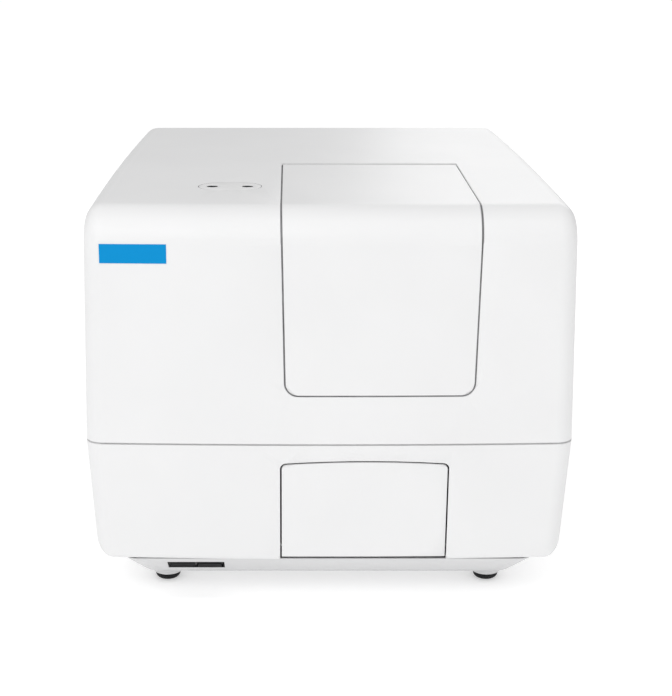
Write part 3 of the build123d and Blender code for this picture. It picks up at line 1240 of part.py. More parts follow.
def power_supply():
    """Enclosed power supply with a slotted top."""
    box = box_between((SUPPLY_X - SUPPLY_WIDTH / 2, SUPPLY_Y - SUPPLY_DEPTH / 2, CHASSIS_TOP_Z),
                      (SUPPLY_X + SUPPLY_WIDTH / 2, SUPPLY_Y + SUPPLY_DEPTH / 2,
                       CHASSIS_TOP_Z + SUPPLY_HEIGHT))
    for i in range(8):
        x = SUPPLY_X - 42 + 12 * i
        box -= box_between((x - 2, SUPPLY_Y - SUPPLY_DEPTH / 3, CHASSIS_TOP_Z + SUPPLY_HEIGHT - 3),
                           (x + 2, SUPPLY_Y + SUPPLY_DEPTH / 3, FAR))
    return single(box)


def board_corners():
    """Centres of the board's standoffs."""
    return [(BOARD_X + x * (BOARD_WIDTH / 2 - 6), BOARD_Y + y * (BOARD_DEPTH / 2 - 6))
            for x in (-1, 1) for y in (-1, 1)]


BOARD_Z = CHASSIS_TOP_Z + STANDOFF_HEIGHT


def main_board():
    """Control board with its processor, connectors and capacitors."""
    top = BOARD_Z + BOARD_THICK
    board = box_between((BOARD_X - BOARD_WIDTH / 2, BOARD_Y - BOARD_DEPTH / 2, BOARD_Z),
                        (BOARD_X + BOARD_WIDTH / 2, BOARD_Y + BOARD_DEPTH / 2, top))
    board += box_between((BOARD_X - 14, BOARD_Y - 14, top), (BOARD_X + 14, BOARD_Y + 14, top + 3))
    for y in (-24, 24):
        board += box_between((BOARD_X - 30, BOARD_Y + y - 3, top), (BOARD_X + 6, BOARD_Y + y + 3, top + 8))
    for x in (18, 30):
        board += rod_along("Z", 4.5, top, top + 12, (BOARD_X + x, BOARD_Y - 26))
    return single(board)


def board_standoffs():
    """Four standoffs under the board."""
    return [rod_along("Z", STANDOFF_R, CHASSIS_TOP_Z, BOARD_Z, (x, y)) for x, y in board_corners()]


# ---------------------------------------------------------------- front controls
WINDOW_HEIGHT = BEZEL_HEIGHT - 2 * BEZEL_WALL
WINDOW_WIDTH = (BEZEL_WIDTH - 3 * BEZEL_WALL) / 2
WINDOW_SHIFT = (WINDOW_WIDTH + BEZEL_WALL) / 2
ROCKER_AXIS_DEPTH = 5.0
ROCKER_PROUD = 0.8


def switch_bezel():
    """Black bezel let into the chin, with a window for each control."""
    bezel = Pos(0, 0, -BEZEL_DEPTH / 2) * Box(BEZEL_WIDTH, BEZEL_HEIGHT, BEZEL_DEPTH)
    for side in (-1, 1):
        bezel -= Pos(side * WINDOW_SHIFT, 0, 0) * Box(WINDOW_WIDTH, WINDOW_HEIGHT, 4 * BEZEL_DEPTH)
    pin_start = -WINDOW_SHIFT - WINDOW_WIDTH / 2 - BEZEL_WALL
    bezel -= rod_along("X", ROCKER_PIN_R + PIN_CLEAR, pin_start, 0, (0, -ROCKER_AXIS_DEPTH))
    return chin_plane().location * single(bezel)


def power_rocker():
    """Power rocker on its pin; its face dips in the middle."""
    half_w = WINDOW_WIDTH / 2 - CONTROL_CLEAR
    half_h = WINDOW_HEIGHT / 2 - 2.2 * CONTROL_CLEAR
    rocker = Pos(0, 0, (ROCKER_PROUD - BEZEL_DEPTH + 1) / 2) * Box(
        2 * half_w, 2 * half_h, BEZEL_DEPTH - 1 + ROCKER_PROUD)
    dish_r = 30.0
    rocker -= rod_along("X", dish_r, -half_w - 1, half_w + 1, (0, ROCKER_PROUD + dish_r - 1.0))
    rocker += rod_along("X", ROCKER_PIN_R, -WINDOW_WIDTH / 2 - BEZEL_WALL, WINDOW_WIDTH / 2 + BEZEL_WALL / 2,
                        (0, -ROCKER_AXIS_DEPTH))
    return chin_plane().location * Pos(-WINDOW_SHIFT, 0, 0) * single(rocker)


def eject_button():
    """Carrier button, held in behind the bezel by its rim."""
    half_w = WINDOW_WIDTH / 2 - CONTROL_CLEAR
    half_h = WINDOW_HEIGHT / 2 - CONTROL_CLEAR
    length = BEZEL_DEPTH + 1.0 + ROCKER_PROUD
    button = Pos(0, 0, ROCKER_PROUD - length / 2) * Box(2 * half_w, 2 * half_h, length)
    front = button.edges().filter_by(Plane.XY).sort_by(Axis.Z)[-4:]
    button = fillet(front, 0.7)
    button += Pos(0, 0, -BEZEL_DEPTH - SEAT - 0.7) * Box(2 * half_w + 2.0, 2 * half_h + 2.0, 1.4)
    return chin_plane().location * Pos(WINDOW_SHIFT, 0, 0) * single(button)


# ---------------------------------------------------------------- injector ports
def port_positions():
    """Sideways places of the two injector ports."""
    return (PORT_X - PORT_SPACING / 2, PORT_X + PORT_SPACING / 2)


def port_plate_shape(depth, margin):
    """Oval space of the port plate, let into the top by depth."""
    oval = SlotOverall(PORT_PLATE_LENGTH + 2 * margin, PORT_PLATE_WIDTH + 2 * margin)
    return Pos(PORT_X, PORT_Y, CASE_HEIGHT - depth) * extrude(oval, depth + 1)


def injector_port_plate():
    """Oval plate flush with the top, with a hole for each port."""
    plate = port_plate_shape(PORT_PLATE_THICK, 0)
    plate -= box_between((-FAR, -FAR, CASE_HEIGHT), (FAR, FAR, FAR))
    for x in port_positions():
        plate -= rod_along("Z", PORT_BODY_R - PORT_COLLAR, 0, FAR, (x, PORT_Y))
    return single(plate)


def injector_ferrules():
    """Two port bodies under the plate, each with a tapered mouth and a bore for a tube fitting."""
    top = CASE_HEIGHT - PORT_PLATE_THICK
    bodies = []
    for x in port_positions():
        body = rod_along("Z", PORT_BODY_R, top - PORT_BODY_LENGTH, top, (x, PORT_Y))
        body += rod_along("Z", PORT_BODY_R - PORT_COLLAR - TOUCH, top, CASE_HEIGHT, (x, PORT_Y))
        body -= rod_along("Z", PORT_BORE_R, top - PORT_BODY_LENGTH + 4, FAR, (x, PORT_Y))
        mouth = Cone(PORT_BORE_R, PORT_MOUTH_R, PORT_MOUTH_R - PORT_BORE_R + 1)
        body -= Pos(x, PORT_Y, CASE_HEIGHT - (PORT_MOUTH_R - PORT_BORE_R + 1) / 2) * mouth
        bodies.append(single(body))
    return bodies


TUBE_BEND_R = 12.0


def injector_tubes():
    """Two tubes from the ports down to the injector block on the chamber's lid."""
    top = CASE_HEIGHT - PORT_PLATE_THICK - PORT_BODY_LENGTH
    left, right = port_positions()
    tubes = []
    for x, drop_x, y in ((left, left + 24, INJECTOR_BLOCK_Y - 5), (right, right + 4, INJECTOR_BLOCK_Y + 5)):
        route = FilletPolyline((x, PORT_Y, top), (x, PORT_Y, 232), (drop_x, y, 192), (drop_x, y, INJECTOR_Z),
                               (INJECTOR_BLOCK_X, y, INJECTOR_Z), radius=TUBE_BEND_R)
        section = Plane(origin=route @ 0, z_dir=route % 0) * Circle(TUBE_R)
        tubes.append(single(sweep(section, path=route)))
    return tubes


# ---------------------------------------------------------------- all the pieces
PIECES = {
    "upper_cover": upper_cover,
    "lower_housing": lower_housing,
    "base_pan": base_pan,
    "rubber_feet": rubber_feet,
    "chassis_plate": chassis_plate,
    "upper_door": upper_door,
    "upper_door_liner": upper_door_liner,
    "upper_door_pin": upper_door_pin,
    "lower_door": lower_door,
    "lower_door_liner": lower_door_liner,
    "lower_door_hinges": lower_door_hinges,
    "carrier_frame": carrier_frame,
    "carrier_bushes": carrier_bushes,
    "carrier_rails": carrier_rails,
    "rail_blocks": rail_blocks,
    "plate_lever": plate_lever,
    "belt_clamp": belt_clamp,
    "drive_pulley": drive_pulley,
    "idler_pulley": idler_pulley,
    "idler_bracket": idler_bracket,
    "drive_belt": drive_belt,
    "drive_motor": drive_motor,
    "motor_bracket": motor_bracket,
    "chamber_walls": chamber_walls,
    "chamber_lid": chamber_lid,
    "head_brackets": head_brackets,
    "head_rails": head_rails,
    "head_screw": head_screw,
    "head_motor": head_motor,
    "read_head": read_head,
    "lens_barrel": lens_barrel,
    "bay_liner": bay_liner,
    "cube_socket": cube_socket,
    "filter_cube": filter_cube,
    "cube_filters": cube_filters,
    "optics_deck": optics_deck,
    "emission_housing": lambda: monochromator_housing(EMISSION_Y),
    "emission_grating": lambda: grating_turntable(EMISSION_Y),
    "excitation_housing": lambda: monochromator_housing(EXCITATION_Y),
    "excitation_grating": lambda: grating_turntable(EXCITATION_Y),
    "lamp_housing": lamp_housing,
    "xenon_lamp": xenon_lamp,
    "detector_housing": detector_housing,
    "rear_panel": rear_panel,
    "power_inlet": power_inlet,
    "inlet_pins": inlet_pins,
    "usb_socket": usb_socket,
    "dispenser_sockets": dispenser_sockets,
    "fan_frame": fan_frame,
    "fan_rotor": fan_rotor,
    "power_supply": power_supply,
    "main_board": main_board,
    "board_standoffs": board_standoffs,
    "switch_bezel": switch_bezel,
    "power_rocker": power_rocker,
    "eject_button": eject_button,
    "injector_port_plate": injector_port_plate,
    "injector_ferrules": injector_ferrules,
    "injector_tubes": injector_tubes,
}

os.makedirs("parts", exist_ok=True)
for name, make in PIECES.items():
    made = make()
    solids = made if isinstance(made, list) else [made]
    shape = solids[0] if len(solids) == 1 else Compound(children=solids)
    export_step(shape, f"parts/{name}.step")
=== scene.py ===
import json
import math

import bmesh
import bpy
from mathutils import Matrix, Vector
from mathutils.bvhtree import BVHTree


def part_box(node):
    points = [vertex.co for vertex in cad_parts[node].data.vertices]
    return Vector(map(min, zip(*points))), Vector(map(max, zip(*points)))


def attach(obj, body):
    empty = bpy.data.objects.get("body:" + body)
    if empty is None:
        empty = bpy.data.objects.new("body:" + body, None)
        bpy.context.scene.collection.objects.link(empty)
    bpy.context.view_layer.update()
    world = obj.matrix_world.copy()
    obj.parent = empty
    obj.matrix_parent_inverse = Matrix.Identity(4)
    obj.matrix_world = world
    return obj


# Microplate reader: materials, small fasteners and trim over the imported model.
# Metres in the row frame: X to the right, Y to the back, Z up, from the bench.

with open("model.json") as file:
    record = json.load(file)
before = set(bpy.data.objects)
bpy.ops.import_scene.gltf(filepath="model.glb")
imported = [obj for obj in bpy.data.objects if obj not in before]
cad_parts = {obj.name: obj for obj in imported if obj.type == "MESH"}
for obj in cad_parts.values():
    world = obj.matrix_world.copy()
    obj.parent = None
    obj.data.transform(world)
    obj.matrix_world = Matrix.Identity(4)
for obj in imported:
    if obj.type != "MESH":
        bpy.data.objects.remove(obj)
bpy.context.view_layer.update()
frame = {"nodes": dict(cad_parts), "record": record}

MM = 0.001

# ---------------------------------------------------------------- camera and light
CAMERA_PLACE = (-0.0324, -1.4166, 0.574)
CAMERA_PITCH = math.radians(16.3)
CAMERA_LENS = 79.3
CAMERA_SHIFT = 0.066
FLOOR_SIZE = 40.0
FLOOR_WHITE = 0.75
FLOOR_GLOW = 0.42
SKY_BRIGHT_SIDE = (-0.16, -0.7, 0.7)
SKY_DIM = 0.14
SKY_BRIGHT = 1.06
BACKDROP = 1.1
# Name, place, aim, width and height in metres, and power in watts of each soft box.
SOFT_BOXES = (
    ("front_box", (-0.7, -1.5, 1.5), (0, 0, 0.17), (1.6, 0.5), 6.5),
    ("edge_strip", (-0.05, -0.62, 1.5), (0, -0.23, 0.33), (1.5, 0.1), 1.9),
    ("right_box", (0.62, 1.7, 0.9), (0.14, 0.1, 0.33), (1.0, 0.7), 4.5),
)

# ---------------------------------------------------------------- trim sizes
BADGE_LEFT_X = -184.0 * MM
BADGE_RIGHT_X = -130.5 * MM
BADGE_LOW_Z = 297.0 * MM
BADGE_HIGH_Z = 312.5 * MM
BADGE_THICK = 0.5 * MM
BADGE_SINK = 0.2 * MM
BADGE_BEVEL_HEIGHT = 0.2 * MM
BADGE_BEVEL_WIDTH = 0.32 * MM
BADGE_COLUMNS = 28
BADGE_ROWS = 10
RAY_START_Y = -1.0

SCREW_R = 3.2 * MM
SCREW_HEIGHT = 1.5 * MM
SCREW_SINK = 0.2 * MM
SCREW_SIDES = 24
SCREW_FOOT_SHARE = 0.94
# The dome of a screw head: shares of its radius and of its height.
SCREW_DOME = ((1.0, 0.25), (0.93, 0.62), (0.74, 0.9))
SOCKET_R = 1.5 * MM
SOCKET_DEPTH = 1.0 * MM
SOCKET_RIM_SHARE = 1.1
FAN_SCREW_R = 2.9 * MM
BASE_SCREW_R = 2.8 * MM
INLET_SCREW_R = 2.6 * MM
LINER_SCREW_R = 2.2 * MM
CUBE_SCREW_R = 1.8 * MM
SCREW_RAY_START = 10.0 * MM

PANEL_SCREW_EDGE = 8.0 * MM
PANEL_MIDDLE_SCREW_X = 28.0 * MM
FAN_SCREW_REACH = 25.0 * MM
INLET_SCREW_OUT = 6.0 * MM
LINER_SCREW_EDGE = 7.0 * MM
LINER_SCREW_DROP = 15.0 * MM
LINER_SCREW_YS = (-45.0 * MM, -130.0 * MM)
CARRIER_SCREW_EDGE = 12.0 * MM
CARRIER_SCREW_REAR = 8.0 * MM
CUBE_SCREW_EDGE = 4.5 * MM
BASE_SCREW_X = 120.0 * MM
BASE_SCREW_Y = 80.0 * MM

GUARD_WIRE_R = 0.8 * MM
GUARD_RINGS = (6.5 * MM, 13.0 * MM, 19.5 * MM, 26.0 * MM)
GUARD_STANDOFF = 2.6 * MM
GUARD_BARS_BEHIND = 1.28 * MM
GUARD_BARS = 4

FOOT_R = 11.0 * MM
FOOT_CUP_GAP = 0.15 * MM
FOOT_CUP_R = 14.0 * MM
FOOT_CUP_LOW_Z = 6.6 * MM
FOOT_CUP_TOP_Z = 11.9 * MM
FOOT_CUP_LIP_DROP = 0.3 * MM
FOOT_CUP_LIP_OUT = 0.6 * MM
FOOT_CUP_LIP_WIDTH = 0.9 * MM
FOOT_CUP_STEPS = 6

# Near-black ring in the gap round the port plate: painted shade for the gap's dark line.
PORT_RING_WIDTH = 0.44 * MM
PORT_RING_DEPTH = 0.5 * MM
PORT_RING_CLEAR = 0.08 * MM
PORT_RING_SINK = 0.1 * MM
PORT_RIM_R = 6.6 * MM
PORT_HOLE_R = 4.9 * MM
# The rim's section: radius and height over the plate.
PORT_RIM_SECTION = (
    (PORT_RIM_R, -0.05 * MM), (PORT_RIM_R - 0.1 * MM, 0.22 * MM),
    (PORT_RIM_R - 0.6 * MM, 0.25 * MM), (PORT_HOLE_R + 0.3 * MM, 0.1 * MM),
    (PORT_HOLE_R, -0.3 * MM), (PORT_HOLE_R + 0.1 * MM, -0.6 * MM),
)

DOOR_GAP = 1.4 * MM
# Sizes of the grey strip in the upper door's gap, whose tone paints the gap's shade.
GAP_SHADE_CLEAR = 0.2 * MM
GAP_SHADE_DEPTH = 1.0 * MM
GAP_SHADE_THICK = 0.5 * MM
RIM_RAY_LIFT = 0.05 * MM
# Limits of the normals: a door's outer skin faces forward or up, its walls sideways or down.
SKIN_MAX_X = 0.5
SKIN_MIN_FORWARD = 0.1
SKIN_MIN_UP = 0.3
WALL_MAX_Y = 0.08

WELD_DISTANCE = 0.002 * MM
SMOOTH_ANGLE = math.radians(32)


# ---------------------------------------------------------------- material tools
def shader(name):
    """A new material with its nodes, its links and its principled shader."""
    material = bpy.data.materials.new(name)
    material.use_nodes = True
    nodes = material.node_tree.nodes
    return material, nodes, material.node_tree.links, nodes["Principled BSDF"]


def place_coords(nodes, links, stretch=(1, 1, 1)):
    """Texture coordinates fixed to the object, in metres, stretched along its axes."""
    coords = nodes.new("ShaderNodeTexCoord")
    mapping = nodes.new("ShaderNodeMapping")
    mapping.inputs["Scale"].default_value = stretch
    links.new(coords.outputs["Object"], mapping.inputs["Vector"])
    return mapping.outputs["Vector"]


def noise(nodes, links, vector, scale, detail=3.0, roughness=0.55):
    """A noise texture; scale is in waves per metre."""
    texture = nodes.new("ShaderNodeTexNoise")
    texture.inputs["Scale"].default_value = scale
    texture.inputs["Detail"].default_value = detail
    texture.inputs["Roughness"].default_value = roughness
    links.new(vector, texture.inputs["Vector"])
    return texture.outputs["Fac"]


def spread(nodes, links, value, low, high):
    """Maps a 0 to 1 texture value to a range."""
    ramp = nodes.new("ShaderNodeMapRange")
    ramp.inputs["From Min"].default_value = 0.3
    ramp.inputs["From Max"].default_value = 0.7
    ramp.inputs["To Min"].default_value = low
    ramp.inputs["To Max"].default_value = high
    links.new(value, ramp.inputs["Value"])
    return ramp.outputs["Result"]


def two_tone(nodes, links, value, dark, light):
    """A colour between two tones, chosen by a texture value."""
    ramp = nodes.new("ShaderNodeValToRGB")
    ramp.color_ramp.elements[0].position = 0.3
    ramp.color_ramp.elements[0].color = (*dark, 1)
    ramp.color_ramp.elements[1].position = 0.7
    ramp.color_ramp.elements[1].color = (*light, 1)
    links.new(value, ramp.inputs["Fac"])
    return ramp.outputs["Color"]


def relief(nodes, links, height, strength, distance, radius=0.0):
    """A bump over a bevel of the given radius."""
    bump = nodes.new("ShaderNodeBump")
    bump.inputs["Strength"].default_value = strength
    bump.inputs["Distance"].default_value = distance
    links.new(height, bump.inputs["Height"])
    if radius:
        bevel = nodes.new("ShaderNodeBevel")
        bevel.samples = 4
        bevel.inputs["Radius"].default_value = radius
        links.new(bevel.outputs["Normal"], bump.inputs["Normal"])
    return bump.outputs["Normal"]


def shade(colour, factor):
    """A colour made darker or lighter."""
    return tuple(min(1.0, channel * factor) for channel in colour)


# ---------------------------------------------------------------- materials
def moulded_plastic(name, colour, roughness, grain=1300.0, grain_depth=0.00004, edge=0.0006,
                    gloss=0.5):
    """Injection-moulded plastic with an etched grain and faint flow in its tone and gloss."""
    material, nodes, links, bsdf = shader(name)
    here = place_coords(nodes, links)
    flow = noise(nodes, links, here, 9.0, 2.0)
    etched = noise(nodes, links, here, grain, 4.0, 0.6)
    tone = two_tone(nodes, links, flow, shade(colour, 0.985), shade(colour, 1.01))
    satin = spread(nodes, links, etched, roughness - 0.05, roughness + 0.06)
    links.new(tone, bsdf.inputs["Base Color"])
    links.new(satin, bsdf.inputs["Roughness"])
    links.new(relief(nodes, links, etched, 0.35, grain_depth, edge), bsdf.inputs["Normal"])
    bsdf.inputs["IOR"].default_value = 1.5
    bsdf.inputs["Specular IOR Level"].default_value = gloss
    return material


def rubber(name, colour):
    """Moulded rubber, with a bloom of dust and a coarse matt grain."""
    material, nodes, links, bsdf = shader(name)
    here = place_coords(nodes, links)
    bloom = noise(nodes, links, here, 60.0, 4.0)
    grain = noise(nodes, links, here, 1800.0, 2.0)
    tone = two_tone(nodes, links, bloom, shade(colour, 0.8), shade(colour, 1.7))
    links.new(tone, bsdf.inputs["Base Color"])
    links.new(spread(nodes, links, bloom, 0.62, 0.8), bsdf.inputs["Roughness"])
    links.new(relief(nodes, links, grain, 0.5, 0.0001, 0.0004), bsdf.inputs["Normal"])
    bsdf.inputs["Specular IOR Level"].default_value = 0.2
    return material


def brushed_metal(name, colour, stretch, roughness):
    """Metal with fine brush lines along one axis and a little cloudiness."""
    material, nodes, links, bsdf = shader(name)
    lines = noise(nodes, links, place_coords(nodes, links, stretch), 900.0, 3.0)
    clouds = noise(nodes, links, place_coords(nodes, links), 22.0, 3.0)
    tone = two_tone(nodes, links, clouds, shade(colour, 0.93), shade(colour, 1.04))
    brushing = spread(nodes, links, lines, roughness - 0.07, roughness + 0.09)
    links.new(tone, bsdf.inputs["Base Color"])
    links.new(brushing, bsdf.inputs["Roughness"])
    links.new(relief(nodes, links, lines, 0.25, 0.00002, 0.0004), bsdf.inputs["Normal"])
    bsdf.inputs["Metallic"].default_value = 1.0
    return material


def anodised_metal(name, colour):
    """Black anodised metal: a bead-blasted grain under a slight sheen, paler where it is rubbed."""
    material, nodes, links, bsdf = shader(name)
    here = place_coords(nodes, links)
    blast = noise(nodes, links, here, 2200.0, 2.0)
    rubbed = noise(nodes, links, here, 35.0, 4.0)
    tone = two_tone(nodes, links, rubbed, shade(colour, 0.85), shade(colour, 1.5))
    links.new(tone, bsdf.inputs["Base Color"])
    links.new(spread(nodes, links, rubbed, 0.38, 0.52), bsdf.inputs["Roughness"])
    links.new(relief(nodes, links, blast, 0.3, 0.00004, 0.0005), bsdf.inputs["Normal"])
    bsdf.inputs["Metallic"].default_value = 0.35
    return material


def clear_glass(name):
    """Coated filter and lamp glass with faint unevenness in its polish."""
    material, nodes, links, bsdf = shader(name)
    polish = noise(nodes, links, place_coords(nodes, links), 120.0, 2.0)
    links.new(spread(nodes, links, polish, 0.02, 0.07), bsdf.inputs["Roughness"])
    bsdf.inputs["Base Color"].default_value = (0.78, 0.86, 0.93, 1)
    bsdf.inputs["Transmission Weight"].default_value = 0.85
    bsdf.inputs["IOR"].default_value = 1.48
    return material


def circuit_board(name):
    """Green solder mask with copper tracks showing through it."""
    material, nodes, links, bsdf = shader(name)
    tracks = nodes.new("ShaderNodeTexBrick")
    tracks.inputs["Scale"].default_value = 160.0
    tracks.inputs["Mortar Size"].default_value = 0.03
    tracks.inputs["Color1"].default_value = (0.012, 0.13, 0.05, 1)
    tracks.inputs["Color2"].default_value = (0.016, 0.16, 0.06, 1)
    tracks.inputs["Mortar"].default_value = (0.05, 0.27, 0.1, 1)
    links.new(place_coords(nodes, links), tracks.inputs["Vector"])
    links.new(tracks.outputs["Color"], bsdf.inputs["Base Color"])
    links.new(relief(nodes, links, tracks.outputs["Fac"], 0.3, 0.00005), bsdf.inputs["Normal"])
    bsdf.inputs["Roughness"].default_value = 0.32
    return material


def fluoropolymer(name):
    """Milky clear tube with a waxy surface."""
    material, nodes, links, bsdf = shader(name)
    wax = noise(nodes, links, place_coords(nodes, links), 300.0, 2.0)
    tone = two_tone(nodes, links, wax, (0.78, 0.78, 0.72), (0.88, 0.88, 0.83))
    links.new(tone, bsdf.inputs["Base Color"])
    bsdf.inputs["Roughness"].default_value = 0.28
    bsdf.inputs["Subsurface Weight"].default_value = 0.3
    bsdf.inputs["Subsurface Scale"].default_value = 0.002
    return material


def enamel(name, colour):
    """Printed and clear-coated plate with a slight orange peel."""
    material, nodes, links, bsdf = shader(name)
    here = place_coords(nodes, links)
    peel = noise(nodes, links, here, 420.0, 2.0)
    ink = noise(nodes, links, here, 2500.0, 2.0)
    tone = two_tone(nodes, links, ink, shade(colour, 0.97), shade(colour, 1.03))
    links.new(tone, bsdf.inputs["Base Color"])
    links.new(relief(nodes, links, peel, 0.15, 0.00003), bsdf.inputs["Normal"])
    bsdf.inputs["Roughness"].default_value = 0.38
    bsdf.inputs["Specular IOR Level"].default_value = 0.1
    return material


MATERIALS = {
    "cover_plastic": moulded_plastic("cover_plastic", (0.745, 0.745, 0.748), 0.42),
    # Base plastic is darker than the cover plastic: painted shade for the downward-facing chin, making
    # up for the floor's glow on it.
    "base_plastic": moulded_plastic("base_plastic", (0.62, 0.62, 0.625), 0.48),
    "liner_plastic": moulded_plastic("liner_plastic", (0.72, 0.72, 0.72), 0.45),
    "black_plastic": moulded_plastic("black_plastic", (0.008, 0.008, 0.009), 0.55, 900.0, 0.00008,
                                     gloss=0.2),
    # Control plastic: the controls' own dark colour, darkened further as painted shade for the recess
    # round them in the chin.
    "control_plastic": moulded_plastic("control_plastic", (0.009, 0.009, 0.01), 0.6, 1500.0,
                                       gloss=0.06),
    "rubber": rubber("rubber", (0.009, 0.009, 0.01)),
    "steel": brushed_metal("steel", (0.60, 0.61, 0.62), (0.05, 1, 1), 0.34),
    "aluminium": brushed_metal("aluminium", (0.78, 0.79, 0.80), (1, 0.06, 1), 0.36),
    "black_metal": anodised_metal("black_metal", (0.022, 0.022, 0.026)),
    "brass": brushed_metal("brass", (0.72, 0.53, 0.24), (1, 1, 0.08), 0.3),
    "glass": clear_glass("glass"),
    "board": circuit_board("board"),
    "tube": fluoropolymer("tube"),
}
# Grey strip for the upper door's gap: its tone is painted shade standing in for the gap's shadow line.
DOOR_GAP_SHADE = rubber("door_gap_shade", (0.17, 0.17, 0.175))
BADGE_BLUE = enamel("badge_blue", (0.0, 0.245, 0.56))


def dress_node(node, material):
    """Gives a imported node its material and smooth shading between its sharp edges."""
    mesh = node.data
    mesh.materials.clear()
    mesh.materials.append(material)
    for face in mesh.polygons:
        face.material_index = 0
        face.use_smooth = True
    weld = node.modifiers.new("weld", "WELD")
    weld.merge_threshold = WELD_DISTANCE
    mesh.set_sharp_from_angle(angle=SMOOTH_ANGLE)
    even = node.modifiers.new("even_normals", "WEIGHTED_NORMAL")
    even.weight = 100
    even.keep_sharp = True


for part in frame["record"]["subparts"]:
    dress_node(frame["nodes"][part["node"]], MATERIALS[part["material_slot"]])


# ---------------------------------------------------------------- mesh tools
def add_piece(name, bm, material, body="instrument"):
    """Turns a bmesh into a smooth-shaded piece that rides on a body."""
    mesh = bpy.data.meshes.new(name)
    bmesh.ops.recalc_face_normals(bm, faces=bm.faces)
    bm.to_mesh(mesh)
    bm.free()
    mesh.materials.append(material)
    for face in mesh.polygons:
        face.use_smooth = True
    mesh.set_sharp_from_angle(angle=SMOOTH_ANGLE)
    piece = bpy.data.objects.new(name, mesh)
    bpy.context.scene.collection.objects.link(piece)
    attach(piece, body)


def circle(bm, radius, height, matrix, count):
    """Vertices of a circle about Z."""
    ring = []
    for i in range(count):
        turn = 2 * math.pi * i / count
        point = Vector((radius * math.cos(turn), radius * math.sin(turn), height))
        ring.append(bm.verts.new(matrix @ point))
    return ring


def band(bm, below, above):
    """Faces between two closed loops of as many vertices."""
    count = len(below)
    for i in range(count):
        j = (i + 1) % count
        bm.faces.new([below[i], below[j], above[j], above[i]])


def capped_bar(bm, radius, length, matrix, count):
    """A round bar along Z from the origin, with its ends closed by triangles."""
    start = bm.verts.new(matrix @ Vector((0, 0, 0)))
    low = circle(bm, radius, 0, matrix, count)
    high = circle(bm, radius, length, matrix, count)
    end = bm.verts.new(matrix @ Vector((0, 0, length)))
    for i in range(count):
        bm.faces.new([start, low[(i + 1) % count], low[i]])
    band(bm, low, high)
    for i in range(count):
        bm.faces.new([high[i], high[(i + 1) % count], end])


def ring_surface(bm, profile, matrix, count=48):
    """Closed ring of revolution about Z through a closed loop of (radius, height) points."""
    rings = [circle(bm, radius, height, matrix, count) for radius, height in profile]
    for below, above in zip(rings, rings[1:] + rings[:1]):
        band(bm, below, above)


def screw_head(bm, place, outward, radius=SCREW_R):
    """Button-head screw with a hexagon socket, its seat at place, facing outward."""
    turn = Vector(outward).to_track_quat("Z", "Y").to_matrix().to_4x4()
    matrix = Matrix.Translation(Vector(place)) @ turn
    scale = radius / SCREW_R
    top = SCREW_HEIGHT * scale
    socket_r = SOCKET_R * scale
    profile = [(radius * SCREW_FOOT_SHARE, -SCREW_SINK)]
    profile += [(radius * wide, top * high) for wide, high in SCREW_DOME]
    profile.append((socket_r * SOCKET_RIM_SHARE, top))
    rings = [circle(bm, r, height, matrix, SCREW_SIDES) for r, height in profile]
    per_flat = SCREW_SIDES // 6
    for height in (top, top - SOCKET_DEPTH * scale):
        ring = []
        for i in range(SCREW_SIDES):
            corner = (i // per_flat) * math.pi / 3
            share = (i % per_flat) / per_flat
            a = Vector((math.cos(corner), math.sin(corner), 0))
            b = Vector((math.cos(corner + math.pi / 3), math.sin(corner + math.pi / 3), 0))
            point = (a + (b - a) * share) * socket_r
            ring.append(bm.verts.new(matrix @ Vector((point.x, point.y, height))))
        rings.append(ring)
    for below, above in zip(rings, rings[1:]):
        band(bm, below, above)
    bm.faces.new(list(reversed(rings[0])))
    bm.faces.new(rings[-1])


def wire_ring(bm, centre, radius, wire, count=48, sides=8):
    """A closed round wire in the XZ plane."""
    rows = []
    for i in range(count):
        turn = 2 * math.pi * i / count
        out = Vector((math.cos(turn), 0, math.sin(turn)))
        row = []
        for k in range(sides):
            side = 2 * math.pi * k / sides
            offset = out * (wire * math.cos(side)) + Vector((0, wire * math.sin(side), 0))
            row.append(bm.verts.new(centre + out * radius + offset))
        rows.append(row)
    for i in range(count):
        for k in range(sides):
            a, b = rows[i], rows[(i + 1) % count]
            bm.faces.new([a[k], a[(k + 1) % sides], b[(k + 1) % sides], b[k]])


def wire_bar(bm, start, end, wire, sides=8):
    """A straight round wire between two points."""
    start, end = Vector(start), Vector(end)
    along = end - start
    turn = along.to_track_quat("Z", "Y").to_matrix().to_4x4()
    matrix = Matrix.Translation(start) @ turn
    capped_bar(bm, wire, along.length, matrix, sides)


def surface_tree(node):
    """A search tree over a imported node's faces."""
    mesh = frame["nodes"][node].data
    return BVHTree.FromPolygons([v.co for v in mesh.vertices], [f.vertices for f in mesh.polygons])


def seated_screws(name, node, body, points, direction, radius):
    """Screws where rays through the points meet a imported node, square to its surface."""
    tree = surface_tree(node)
    along = Vector(direction)
    bm = bmesh.new()
    for point in points:
        hit, normal, _, _ = tree.ray_cast(Vector(point), along)
        if normal.dot(along) > 0:
            normal = -normal
        screw_head(bm, hit, normal, radius)
    add_piece(name, bm, MATERIALS["steel"], body)


